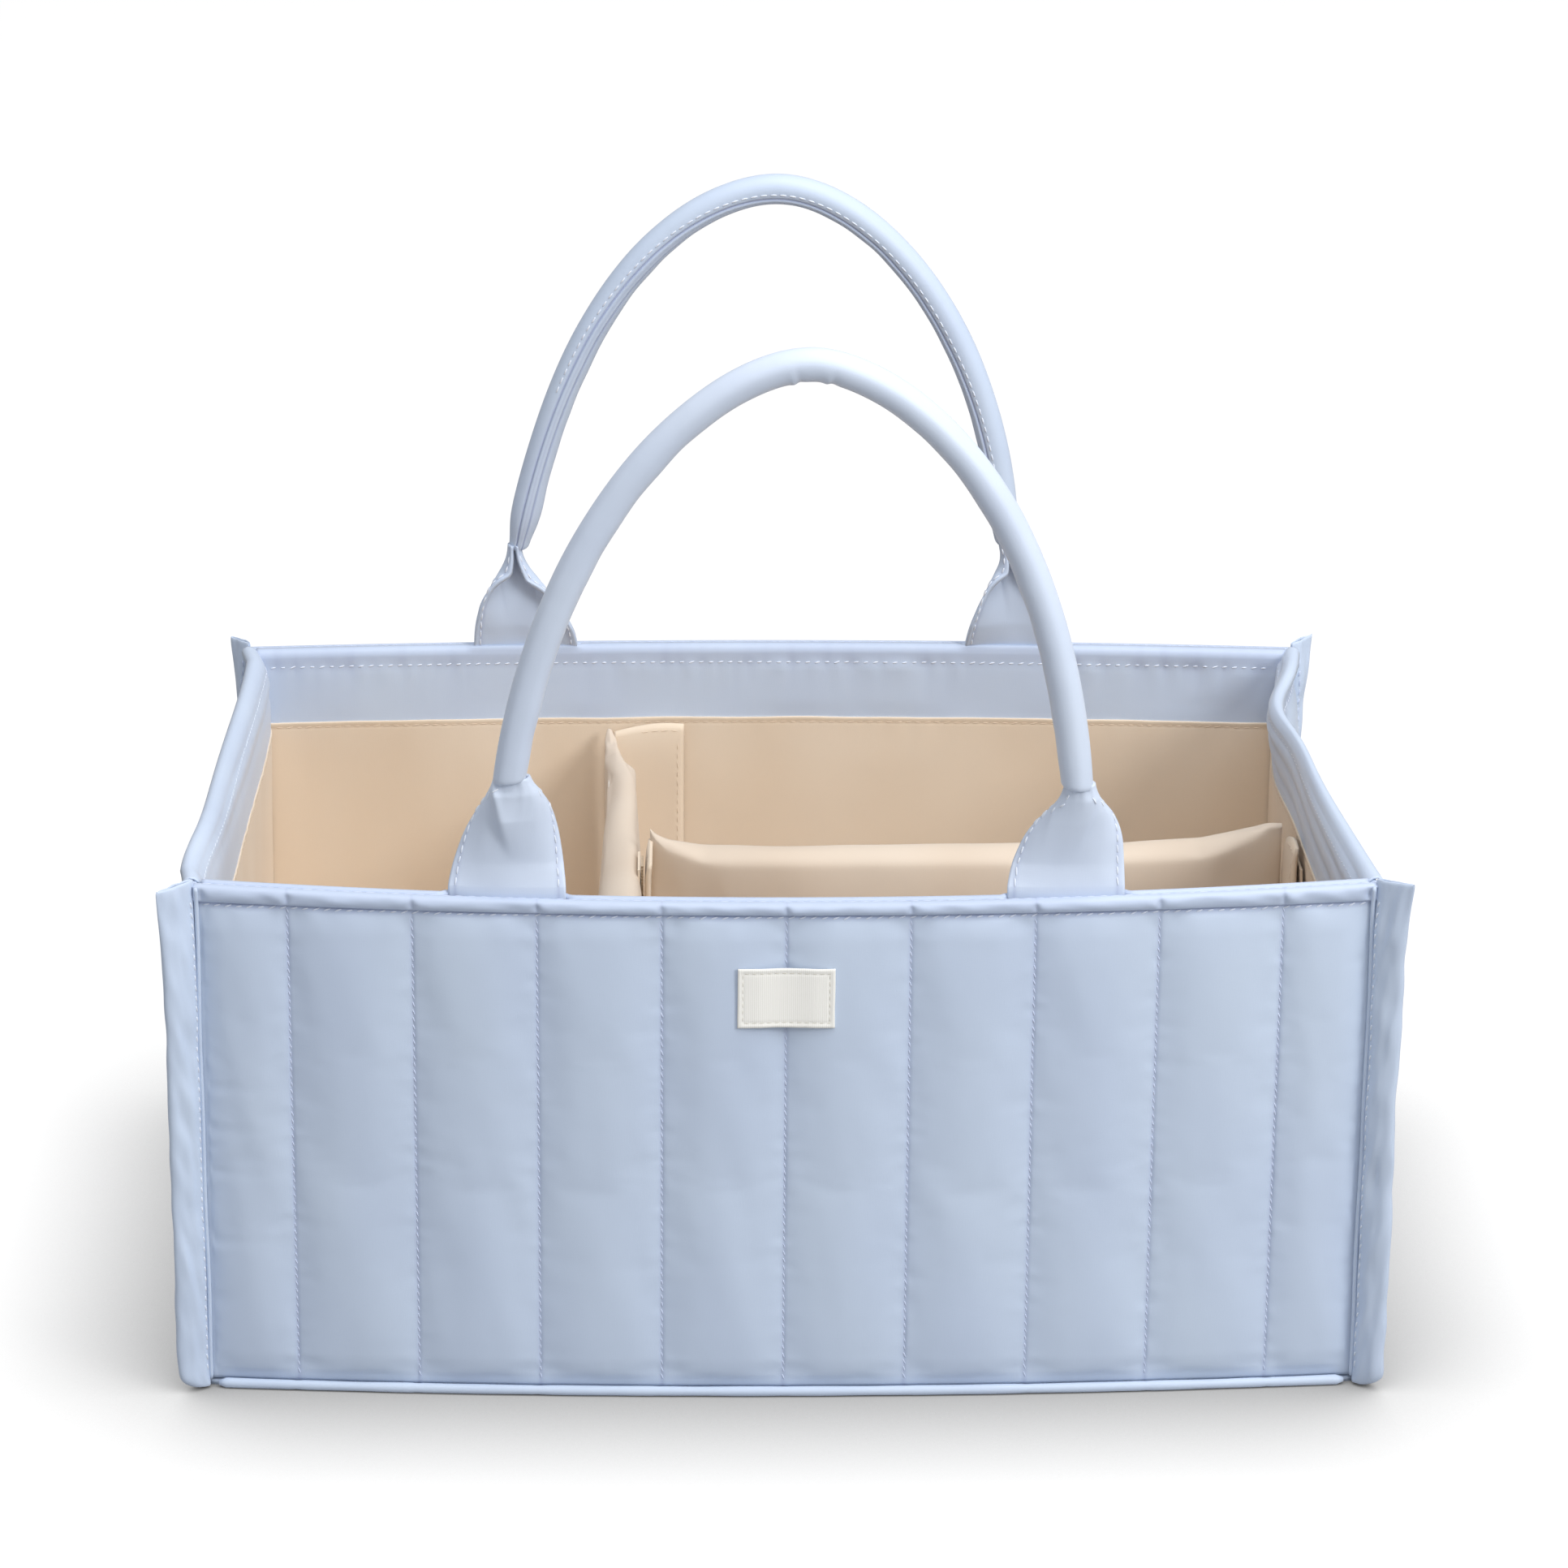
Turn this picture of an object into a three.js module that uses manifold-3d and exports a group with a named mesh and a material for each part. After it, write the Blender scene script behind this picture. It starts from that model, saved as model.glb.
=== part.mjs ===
// A quilted nursery caddy: an open fabric box whose walls hold stiff boards, with two padded carry
// handles, pinched corner flanges, a piped base seam, and two padded dividers that lift out and are
// held by hook-and-loop flaps. Millimetres; +X right, +Y back, +Z up; origin in the middle underneath.
import * as THREE from "three";
import { mergeVertices } from "three/addons/utils/BufferGeometryUtils.js";
import Module from "manifold-3d";

const wasm = await Module();
wasm.setup();

// Driving sizes of the box, between its corner seams
const boxLength = 376;
const boxDepth = 240;
const boxHeight = 175;
const frontBow = 8; // how far the front and back walls belly out at mid-length
const leftRimDip = 3; // how far the left rim falls inward at mid-depth
const rightRimDip = 6;
const seat = 0.3; // clearance between pieces that lie on each other

// Layers of a wall, from the outside in
const backingThickness = 2.2;
const boardThickness = 2;
const facingThickness = 0.8;
const liningThickness = 0.8;
const boardOut = backingThickness + seat;
const boardIn = boardOut + boardThickness;
const facingOut = boardIn + seat;
const facingIn = facingOut + facingThickness;
const liningOut = facingIn + seat;
const liningIn = liningOut + liningThickness;

// Base layers
const baseCoverThickness = 1.5;
const baseBoardThickness = 2.5;
const baseLiningThickness = 1;
const wallFoot = baseCoverThickness + seat;
const baseLiningFoot = wallFoot + baseBoardThickness + seat;
const floorHeight = baseLiningFoot + baseLiningThickness;

// Quilting and rim
const quiltPitch = 39.5;
const quiltLoft = 4;
const seamMargin = 4; // flat strip beside each corner seam
const hemDepth = 8; // from the crest of the rim down to its row of stitching
const rimLoft = 3;
const crestThickness = 2.4;
const facingHeight = 34;
const liningDrop = 27; // from the crest down to the lining's hemmed top edge

// Colours of the cloths and the hidden pieces
const cloth = (color, roughness) => new THREE.MeshStandardMaterial({ color, roughness, metalness: 0 });
const blueCotton = cloth(0xb4c3da, 0.62);
const creamCotton = cloth(0xd9c5ae, 0.7);
const ivoryTape = cloth(0xf1f0ea, 0.8);
const greyBoard = cloth(0xc9c6c0, 0.75);
const whiteFoam = cloth(0xf4f2ee, 0.9);

const caddy = new THREE.Group();

function piece(name, geometry, material, home = caddy) {
  const mesh = new THREE.Mesh(geometry, material);
  mesh.name = name;
  home.add(mesh);
  return mesh;
}

// The four walls. Each is drawn as the front wall is, facing -Y, in a group turned to its own side.
const halfTurn = Math.PI;
const quarterTurn = halfTurn / 2;
const bellyShare = (chord, length) => 1 - (chord / length) ** 2;
const bowOut = (along) => frontBow * bellyShare(2 * along, boxLength);
const dipIn = (dip) => (along, z) => -dip * (z / boxHeight) ** 2 * bellyShare(2 * along, boxDepth);
const walls = [
  { name: "front", turn: 0, reach: boxDepth / 2, length: boxLength, bulge: bowOut },
  { name: "right", turn: quarterTurn, reach: boxLength / 2, length: boxDepth, bulge: dipIn(rightRimDip) },
  { name: "back", turn: halfTurn, reach: boxDepth / 2, length: boxLength, bulge: bowOut },
  { name: "left", turn: -quarterTurn, reach: boxLength / 2, length: boxDepth, bulge: dipIn(leftRimDip) },
];
for (const wall of walls) {
  wall.long = wall.length === boxLength;
  wall.group = new THREE.Group();
  wall.group.rotation.z = wall.turn;
  caddy.add(wall.group);
}

// The layers nest at the corners: a long wall's layer runs on to the back of the short wall's layer
// outside it, and a short wall's layer stops against the face of the long wall's own.
const dipAtCorner = rightRimDip * bellyShare(boxDepth - 2 * liningIn, boxDepth);
function wallHalf(wall, outer, inner) {
  if (!wall.long) return wall.length / 2 - inner - seat;
  return wall.length / 2 - (outer > 0 ? outer + dipAtCorner : 0);
}
const wallPoint = (wall, along, inward, z) =>
  new THREE.Vector3(along, inward - wall.reach - wall.bulge(along, z), z);

// A closed slab whose corners are each pushed to their place. In the unit box, x runs along the cloth,
// y up it, and z through it, from its inner face to its outer face.
function formedSlab(columns, rows, place) {
  const geometry = new THREE.BoxGeometry(1, 1, 1, columns, rows, 1);
  const corners = geometry.getAttribute("position");
  for (let i = 0; i < corners.count; i += 1) {
    const column = Math.round((corners.getX(i) + 0.5) * columns);
    const row = Math.round((corners.getY(i) + 0.5) * rows);
    const spot = place(column, row, corners.getZ(i) > 0);
    corners.setXYZ(i, spot.x, spot.y, spot.z);
  }
  return geometry;
}

// A flat layer of a wall, from one inward depth to another and between two heights
const layerColumns = 8;
const leaningRows = 4; // the short walls lean inward as they rise, so their layers bend upward too
function wallLayer(wall, outer, inner, foot, top) {
  const half = wallHalf(wall, outer, inner);
  const rows = wall.long ? 1 : leaningRows;
  return formedSlab(layerColumns, rows, (column, row, outside) => {
    const along = half * (2 * column / layerColumns - 1);
    const z = foot + (top - foot) * row / rows;
    return wallPoint(wall, along, outside ? outer : inner, z);
  });
}

// Quilting: sewn channels of one pitch, counted from the middle of the wall
function channelEdges(length) {
  const end = length / 2 - seamMargin;
  const edges = [end];
  for (let edge = 0; edge < end - quiltPitch / 4; edge += quiltPitch) {
    edges.push(edge);
    if (edge > 0) edges.push(-edge);
  }
  return [-end, ...edges].sort((a, b) => a - b);
}

const channelShares = [0, 0.2, 0.5, 0.8];
const puffPower = 0.6;
function quiltColumns(length) {
  const edges = channelEdges(length);
  const columns = [{ along: -length / 2, puffShare: 0 }];
  for (let i = 0; i + 1 < edges.length; i += 1) {
    const width = edges[i + 1] - edges[i];
    for (const share of channelShares) {
      const puffShare = (4 * share * (1 - share)) ** puffPower * Math.sqrt(width / quiltPitch);
      columns.push({ along: edges[i] + width * share, puffShare });
    }
  }
  columns.push({ along: edges.at(-1), puffShare: 0 }, { along: length / 2, puffShare: 0 });
  return columns;
}

// The panel's section, from its foot up to the hem stitching, then round the rolled crest of the rim.
// Each row gives the outer face, the share of each loft there, and the inner face.
const pipingRadius = 1.6;
const pipingTop = wallFoot + 2 * pipingRadius;
const hemLine = boxHeight - hemDepth;
const crestInward = (facingIn - rimLoft) / 2;
const flatRow = (z, quiltShare) => ({
  inward: 0,
  z,
  quiltShare,
  rimShare: 0,
  backIn: backingThickness,
  backZ: z,
});
const rimRow = (dropShare, rimShare) => {
  const z = boxHeight - hemDepth * dropShare;
  const backZ = Math.min(z, boxHeight - crestThickness);
  return { inward: 0, z, quiltShare: 0, rimShare, backIn: backingThickness, backZ };
};
const crestRow = (inward, dropShare, backIn) => ({
  inward,
  z: boxHeight - hemDepth * dropShare,
  quiltShare: 0,
  rimShare: 0,
  backIn,
  backZ: boxHeight - crestThickness,
  overTop: true,
});
const panelRise = hemLine - pipingTop;
const riseShares = [
  [0, 0],
  [0.02, 0.6],
  [0.06, 0.9],
  [0.25, 1],
  [0.6, 1],
  [0.88, 0.95],
  [0.97, 0.6],
  [1, 0],
];
const panelRows = [
  flatRow(wallFoot, 0),
  ...riseShares.map(([rise, loft]) => flatRow(pipingTop + panelRise * rise, loft)),
  rimRow(0.75, 0.75),
  { ...rimRow(0.45, 1), overTop: true },
  { ...rimRow(0.14, 0.6), overTop: true },
  crestRow(crestInward, 0, (backingThickness + facingIn) / 2),
  crestRow(facingIn, 0.16, facingIn),
];

function quiltedPanel(wall) {
  const columns = quiltColumns(wall.length);
  const halfFor = (row) => wallHalf(wall, 0, row.overTop ? facingIn : backingThickness);
  return formedSlab(columns.length - 1, panelRows.length - 1, (column, row, outside) => {
    const { along, puffShare } = columns[column];
    const section = panelRows[row];
    const reach = halfFor(section);
    const x = Math.max(-reach, Math.min(reach, along));
    if (!outside) return wallPoint(wall, x, section.backIn, section.backZ);
    const pinchShare = Math.abs(along) > wall.length / 2 - 2 * seamMargin ? 0 : 0.8 + 0.2 * puffShare;
    const loft = quiltLoft * section.quiltShare * puffShare + rimLoft * section.rimShare * pinchShare;
    return wallPoint(wall, x, section.inward - loft, section.z);
  });
}

// Carry handle tabs, whose roots pass down through slits in the rim
const tabSpread = 88.5; // from the middle of the box to the middle of a tab
const tabHalfWidth = 18.8;
const tabHeight = 36; // from the crest to the neck
const tabThickness = boardThickness;
const rootInward = (boardOut + boardIn) / 2;
const rootFoot = hemLine + seat;
const foldRise = 8; // top of the root, just under the line where the cloth of a tab bends
const foldGap = 0.5;
const creaseThickness = 0.4; // the root narrows to this at its top
const creaseDepth = 1.4;
const rootTurn = Math.atan(8 * frontBow * tabSpread / boxLength ** 2); // the bowed wall's slope there

function solidOf(geometry) {
  const bare = geometry.clone().deleteAttribute("normal").deleteAttribute("uv");
  const merged = mergeVertices(bare);
  const mesh = new wasm.Mesh({
    numProp: 3,
    vertProperties: merged.getAttribute("position").array,
    triVerts: new Uint32Array(merged.index.array),
  });
  return new wasm.Manifold(mesh);
}

function geometryOf(solid) {
  const mesh = solid.getMesh();
  const geometry = new THREE.BufferGeometry();
  geometry.setAttribute("position", new THREE.BufferAttribute(mesh.vertProperties, mesh.numProp));
  geometry.setIndex(new THREE.BufferAttribute(mesh.triVerts, 1));
  geometry.computeVertexNormals();
  return geometry;
}

// Cuts the two slits of a long wall's rim, each round the root of a tab.
function slitPanel(wall, panel) {
  let solid = solidOf(panel);
  for (const sign of [-1, 1]) {
    const depth = tabThickness + 2 * seat;
    const slit = new THREE.BoxGeometry(2 * (tabHalfWidth + seat), depth, 2 * hemDepth);
    const place = wallPoint(wall, sign * tabSpread, rootInward, boxHeight);
    slit.rotateZ(sign * rootTurn).translate(place.x, place.y, place.z);
    solid = solid.subtract(solidOf(slit));
  }
  return geometryOf(solid);
}

for (const wall of walls) {
  const { name, group } = wall;
  const boardTop = hemLine - seat;
  const facingTop = boxHeight - crestThickness - seat;
  const core = wall.long ? ["board", greyBoard] : ["foam", whiteFoam];
  const panel = wall.long ? slitPanel(wall, quiltedPanel(wall)) : quiltedPanel(wall);
  piece(`${name}_quilted_panel`, panel, blueCotton, group);
  piece(`${name}_${core[0]}`, wallLayer(wall, boardOut, boardIn, wallFoot, boardTop), core[1], group);
  const facing = wallLayer(wall, facingOut, facingIn, boxHeight - facingHeight, facingTop);
  piece(`${name}_facing`, facing, blueCotton, group);
  const lining = wallLayer(wall, liningOut, liningIn, wallFoot, boxHeight - liningDrop);
  piece(`${name}_lining`, lining, creamCotton, group);
}

// Base: cloth underneath, a stiff board on it and the lining's floor on that
const bowSteps = 8;
function basePlate(inset, foot, thickness) {
  const halfLength = boxLength / 2 - inset;
  const edge = boxDepth / 2 + bowOut(halfLength) - inset;
  const peak = 2 * (boxDepth / 2 + frontBow - inset) - edge; // control point of the bowed edge
  const outline = new THREE.Shape()
    .moveTo(-halfLength, -edge)
    .quadraticCurveTo(0, -peak, halfLength, -edge)
    .lineTo(halfLength, edge)
    .quadraticCurveTo(0, peak, -halfLength, edge)
    .closePath();
  const plate = new THREE.ExtrudeGeometry(outline, {
    depth: thickness,
    bevelEnabled: false,
    curveSegments: bowSteps,
  });
  return plate.translate(0, 0, foot);
}
// The side walls dip only a little at floor height, so the board is cut clear of them.
const floorInset = liningIn + 2 * seat;
piece("base_cover", basePlate(0, 0, baseCoverThickness), blueCotton);
piece("base_board", basePlate(floorInset, wallFoot, baseBoardThickness), greyBoard);
piece("base_lining", basePlate(floorInset, baseLiningFoot, baseLiningThickness), creamCotton);

// Corner flanges: the cloth of each corner pinched into a padded fin that points out on the diagonal.
// The outline is drawn at the front right corner, in the fin's own length, and hugs both walls.
const flangeLength = 14;
const flangeRoot = 3.5; // how far the sewn root reaches along each wall
const flangeRootThickness = 1.3;
const flangeThickness = 4;
const flangeFootShare = 0.8; // size of the section at the floor, against the rim
const flangeSteps = 6;
const flangeOverRim = 1;
const diagonalShare = Math.SQRT1_2;
function flangeOutline() {
  const tip = flangeLength * diagonalShare;
  const side = flangeThickness * diagonalShare / 2;
  const shoulder = tip - side;
  const root = seat + flangeRootThickness;
  return new THREE.Shape()
    .moveTo(seat, -seat)
    .lineTo(-flangeRoot, -seat)
    .lineTo(-flangeRoot, -root)
    .quadraticCurveTo(0, -root, shoulder - side, -shoulder - side)
    .quadraticCurveTo(tip, -tip - side, tip, -tip)
    .quadraticCurveTo(tip + side, -tip, shoulder + side, -shoulder + side)
    .quadraticCurveTo(root, 0, root, flangeRoot)
    .lineTo(seat, flangeRoot)
    .closePath();
}
const flangeFoot = baseCoverThickness / 2;
const flangeHeight = boxHeight + flangeOverRim - flangeFoot;
function flangeGeometry() {
  const fin = new THREE.ExtrudeGeometry(flangeOutline(), {
    depth: flangeHeight,
    steps: flangeSteps,
    bevelEnabled: false,
    curveSegments: 3,
  });
  const corners = fin.getAttribute("position");
  for (let i = 0; i < corners.count; i += 1) {
    const rise = corners.getZ(i) / flangeHeight;
    const size = flangeFootShare + (1 - flangeFootShare) * rise;
    const grow = (across) => (Math.abs(across) > flangeRoot + seat ? across * size : across);
    corners.setXY(i, grow(corners.getX(i)), grow(corners.getY(i)));
  }
  return fin.translate(0, 0, flangeFoot);
}
const flangeCorners = [
  { name: "front_right", x: 1, y: -1, turn: 0 },
  { name: "back_right", x: 1, y: 1, turn: quarterTurn },
  { name: "back_left", x: -1, y: 1, turn: halfTurn },
  { name: "front_left", x: -1, y: -1, turn: -quarterTurn },
];
for (const corner of flangeCorners) {
  const fin = piece(`${corner.name}_corner_flange`, flangeGeometry(), blueCotton);
  fin.position.set(corner.x * boxLength / 2, corner.y * boxDepth / 2, 0);
  fin.rotation.z = corner.turn;
}

// A round bar swept along a curve, or a round tube where a bore is given
const roundSegments = 4; // an arc takes twice as many, so eight sides
function sweptRound(path, steps, radius, bore = 0) {
  const section = new THREE.Shape().absarc(0, 0, radius, 0, 2 * halfTurn);
  if (bore > 0) section.holes.push(new THREE.Path().absarc(0, 0, bore, 0, 2 * halfTurn, true));
  return new THREE.ExtrudeGeometry(section, { extrudePath: path, steps, curveSegments: roundSegments });
}

// Piped seam round the base, one length of filled piping to each wall, between the flanges
const pipingSteps = 6;
for (const wall of walls) {
  const half = wall.length / 2 - flangeRoot - seat;
  const z = seat + pipingRadius;
  const ends = [-half, 0, half].map((along) => wallPoint(wall, along, -seat - pipingRadius, z));
  const middle = ends[1].clone().multiplyScalar(2).sub(ends[0].clone().add(ends[2]).multiplyScalar(1 / 2));
  const line = new THREE.QuadraticBezierCurve3(ends[0], middle, ends[2]);
  piece(`${wall.name}_base_piping`, sweptRound(line, pipingSteps, pipingRadius), blueCotton, wall.group);
}

// Carry handles: a strip of cloth rolled round a soft core, with a flat bell-shaped tab at each end.
// The root of a tab is stitched inside the rim; above the rim the tab folds, so the handle swings.
const hingeRise = foldRise + foldGap + Math.hypot(tabThickness, tabThickness) / 2;
const gripRadius = 5.4;
const gripWall = 1.2;
const gripBore = gripRadius - gripWall;
const gripHeight = 171; // from the crest to the middle of the grip at its top
const archLeanShare = 0.24; // how far the sides of the arch lean in at the neck, for their rise
const archShoulderShare = 0.51; // rise of the point that the sides of the arch aim for
const archTopShare = 0.48; // half length of the flat top of the arch, against its half spread
const tongueLength = 4;
const tongueShare = 0.55; // half width of the tab's tongue inside the bore
const gripSteps = 28;
const coreInset = 1; // steps of the bore left free at each end for the tongue

// A stretch of another curve, by its length
class Stretch extends THREE.Curve {
  constructor(whole, from, to) {
    super();
    Object.assign(this, { whole, from, to });
  }
  getPoint(t, target = new THREE.Vector3()) {
    return target.copy(this.whole.getPointAt(this.from + (this.to - this.from) * t));
  }
}

function handleArch(lean) {
  const foot = tabHeight - hingeRise;
  const top = gripHeight - hingeRise;
  const rise = (top - foot) * archShoulderShare;
  const crown = new THREE.Vector3(lean, 0, top);
  const side = (sign) => [
    new THREE.Vector3(sign * tabSpread, 0, foot),
    new THREE.Vector3(sign * (tabSpread - rise * archLeanShare), 0, foot + rise),
    new THREE.Vector3(sign * tabSpread * archTopShare + lean, 0, top),
  ];
  const [leftFoot, leftShoulder, leftTop] = side(-1);
  const [rightFoot, rightShoulder, rightTop] = side(1);
  const arch = new THREE.CurvePath();
  arch.add(new THREE.CubicBezierCurve3(leftFoot, leftShoulder, leftTop, crown));
  arch.add(new THREE.CubicBezierCurve3(crown, rightTop, rightShoulder, rightFoot));
  return arch;
}

// The bell of a tab, from its foot in the rim up to the neck, measured from the crest
const neckHeight = tabHeight - seat - gripRadius * archLeanShare;
const bellPull = { foot: neckHeight * 0.38, neck: neckHeight * 0.76 };
const bellSide = new THREE.CubicBezierCurve(
  new THREE.Vector2(tabHalfWidth, 0),
  new THREE.Vector2(tabHalfWidth, bellPull.foot),
  new THREE.Vector2(tabHalfWidth / 2, bellPull.neck),
  new THREE.Vector2(gripRadius, neckHeight),
);
const bellSteps = 8;

// A flat upright piece of tab cloth with equal sides, drawn from the points of its right side
function tabCloth(side) {
  const leftSide = side.map((point) => new THREE.Vector2(-point.x, point.y)).reverse();
  const outline = new THREE.Shape([...side, ...leftSide]);
  return new THREE.ExtrudeGeometry(outline, { depth: tabThickness, bevelEnabled: false })
    .translate(0, 0, -tabThickness / 2)
    .rotateX(quarterTurn);
}

function bellWidthAt(height) {
  const points = bellSide.getPoints(bellSteps);
  const over = points.findIndex((point) => point.y > height); // the first point is at height 0
  const [low, high] = [points[over - 1], points[over]];
  return low.x + (high.x - low.x) * (height - low.y) / (high.y - low.y);
}

function tabGeometry() {
  const foot = foldRise + foldGap;
  const tongue = gripBore * tongueShare;
  const bell = bellSide.getPoints(bellSteps).filter((point) => point.y > foot + foldGap);
  const side = [
    new THREE.Vector2(bellWidthAt(foot), foot),
    ...bell,
    new THREE.Vector2(tongue, neckHeight),
    new THREE.Vector2(tongue, neckHeight + tongueLength),
  ];
  return tabCloth(side).translate(0, 0, -hingeRise);
}

// The root of a tab follows the bowed rim inside it, and straightens to the fold line above it.
const rootColumns = 4;
const rootRows = [
  { z: rootFoot, thickness: tabThickness, bowed: true },
  { z: boxHeight, thickness: tabThickness, bowed: true },
  { z: boxHeight + foldRise - creaseDepth, thickness: tabThickness, bowed: false },
  { z: boxHeight + foldRise, thickness: creaseThickness, bowed: false },
];
function rootGeometry(wall, middle) {
  return formedSlab(rootColumns, rootRows.length - 1, (column, row, outside) => {
    const { z, thickness, bowed } = rootRows[row];
    const half = bellWidthAt(Math.max(0, z - boxHeight));
    const along = middle + half * (2 * column / rootColumns - 1);
    const spot = wallPoint(wall, bowed ? along : middle, rootInward, z);
    spot.x = along;
    spot.y += (outside ? -thickness : thickness) / 2;
    return spot;
  });
}

const handles = [
  { name: "front", side: -1, lean: 6.5, wall: walls[0] },
  { name: "back", side: 1, lean: 0.5, wall: walls[2] },
];
const hingeReach = boxDepth / 2 + bowOut(tabSpread) - rootInward;
for (const { name, side, lean, wall } of handles) {
  const handle = new THREE.Group();
  handle.position.set(0, side * hingeReach, boxHeight + hingeRise);
  caddy.add(handle);
  const arch = handleArch(lean);
  const cover = sweptRound(arch, gripSteps, gripRadius, gripBore);
  piece(`${name}_handle_cover`, cover, blueCotton, handle);
  const coreEnd = coreInset / gripSteps;
  const coreLine = new Stretch(arch, coreEnd, 1 - coreEnd);
  const core = sweptRound(coreLine, gripSteps - 2 * coreInset, gripBore - seat);
  piece(`${name}_handle_core`, core, whiteFoam, handle);
  for (const [end, sign] of [["left", -1], ["right", 1]]) {
    const tab = piece(`${name}_handle_${end}_tab`, tabGeometry(), blueCotton, handle);
    tab.position.x = sign * tabSpread;
    const root = rootGeometry(wall, -side * sign * tabSpread);
    piece(`${name}_handle_${end}_root`, root, blueCotton, wall.group);
  }
}

// Woven label, sewn flat across the middle seam of the front wall
const labelWidth = 31;
const labelHeight = 20;
const labelThickness = 0.8;
const labelDrop = 34.6; // from the crest to the middle of the label
const labelDip = 0.9; // how far its middle sinks into the seam's groove
const labelColumns = 4;
const front = walls[0];
const labelSlab = formedSlab(labelColumns, 1, (column, row, outside) => {
  const acrossShare = 2 * column / labelColumns - 1;
  const along = acrossShare * labelWidth / 2;
  const z = boxHeight - labelDrop + labelHeight * (row - 1 / 2);
  const under = quiltLoft + seat - labelDip * (1 - acrossShare ** 2);
  return wallPoint(front, along, -under - (outside ? labelThickness : 0), z);
});
piece("front_label", labelSlab, ivoryTape, front.group);

// Dividers: padded boards in folded cloth, each with a flap at both ends that hook tape holds
const dividerThickness = 12;
const dividerClothThickness = 1.2;
const dividerDrop = 31; // from the crest down to the tops of the dividers
const dividerTop = boxHeight - dividerDrop;
const boardEndInset = 26; // the board stops short of each end, where the cloth is pinched together
const dividerFoot = floorHeight + seat;
const crossPlace = -54; // where the cross divider stands along the box
const longPlace = 4; // where the long divider stands across the box
const flapWidth = 14;
const flapThickness = 1.6;
const tapeThickness = 0.8;
const tapeMargin = 2; // flap left showing round its hook tape, and loop tape past the flap
const flapTopDrop = 0.5; // the flaps end this far below the tops of the dividers

// Cloth folded over the top of the board, open at the foot; drawn across X and run along Y
function foldedCover(length) {
  const half = dividerThickness / 2;
  const inside = half - dividerClothThickness;
  const straight = dividerTop - half;
  const outline = new THREE.Shape()
    .moveTo(half, dividerFoot)
    .lineTo(half, straight)
    .absarc(0, straight, half, 0, halfTurn)
    .lineTo(-half, dividerFoot)
    .lineTo(-inside, dividerFoot)
    .lineTo(-inside, straight)
    .absarc(0, straight, inside, halfTurn, 0, true)
    .lineTo(inside, dividerFoot)
    .closePath();
  return new THREE.ExtrudeGeometry(outline, { depth: length, bevelEnabled: false, curveSegments: 5 })
    .translate(0, 0, -length / 2)
    .rotateX(quarterTurn);
}

function dividerBoard(length) {
  const half = dividerThickness / 2 - dividerClothThickness - seat;
  const top = dividerTop - dividerThickness / 2;
  const board = new THREE.BoxGeometry(2 * half, length - 2 * boardEndInset, top - dividerFoot);
  return board.translate(0, 0, (top + dividerFoot) / 2);
}

// A flap and its tape. The flap folds on an upright line beside the divider's end, and lies against
// the wall there. It is drawn reaching +X from that line, with the tape behind it, on its +Y face.
const flapTop = dividerTop - flapTopDrop;
const flapHeight = flapTop - dividerFoot;
const tapeHeight = flapHeight - 2 * tapeMargin;
const flapRoot = seat + Math.hypot(flapThickness, flapThickness) / 2; // from the corner to the fold
const flapDepth = flapThickness + seat + tapeThickness; // from the divider's end to the tape's face
function uprightPlate(width, thickness, height, left, near) {
  return new THREE.BoxGeometry(width, thickness, height).translate(
    left + width / 2,
    near + thickness / 2,
    (dividerFoot + flapTop) / 2,
  );
}
const flapLeft = -flapThickness / 2;
const flapPlate = () => uprightPlate(flapWidth, flapThickness, flapHeight, flapLeft, -flapThickness / 2);
const hookWidth = flapWidth - 2 * tapeMargin;
const hookNear = flapThickness / 2 + seat;
const hookPlate = () =>
  uprightPlate(hookWidth, tapeThickness, tapeHeight, flapLeft + tapeMargin, hookNear);

// The two flaps of a divider of the given length, at the +Y end and the -Y end of its group
function addFlaps(divider, name, length, ends) {
  for (const [end, side] of ends) {
    const flap = new THREE.Group();
    flap.position.set(
      dividerThickness / 2 + flapRoot,
      side * (length / 2 + seat + flapThickness / 2),
      0,
    );
    flap.scale.y = side;
    divider.add(flap);
    piece(`${name}_${end}_flap`, flapPlate(), creamCotton, flap);
    piece(`${name}_${end}_hook_tape`, hookPlate(), ivoryTape, flap);
  }
}

// The cross divider spans the box from front to back.
const loopWidth = flapWidth + 2 * tapeMargin;
const loopLeft = dividerThickness / 2 + flapRoot + flapLeft - tapeMargin;
const loopEnds = [crossPlace + loopLeft, crossPlace + loopLeft + loopWidth];
const wallFaceAt = (x) => boxDepth / 2 + bowOut(x) - liningIn;
const loopFace = Math.min(...loopEnds.map(wallFaceAt)) - seat - tapeThickness;
const crossHalf = loopFace - seat - flapDepth - seat;
const cross = new THREE.Group();
cross.position.x = crossPlace;
caddy.add(cross);
piece("cross_divider_cover", foldedCover(2 * crossHalf), creamCotton, cross);
piece("cross_divider_board", dividerBoard(2 * crossHalf), greyBoard, cross);
addFlaps(cross, "cross_divider", 2 * crossHalf, [["back", 1], ["front", -1]]);
for (const [name, side] of [["back", 1], ["front", -1]]) {
  const loop = new THREE.BoxGeometry(loopWidth, tapeThickness, tapeHeight);
  piece(`${name}_wall_loop_tape`, loop, creamCotton).position.set(
    crossPlace + loopLeft + loopWidth / 2,
    side * (loopFace + tapeThickness / 2),
    (dividerFoot + flapTop) / 2,
  );
}

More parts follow.
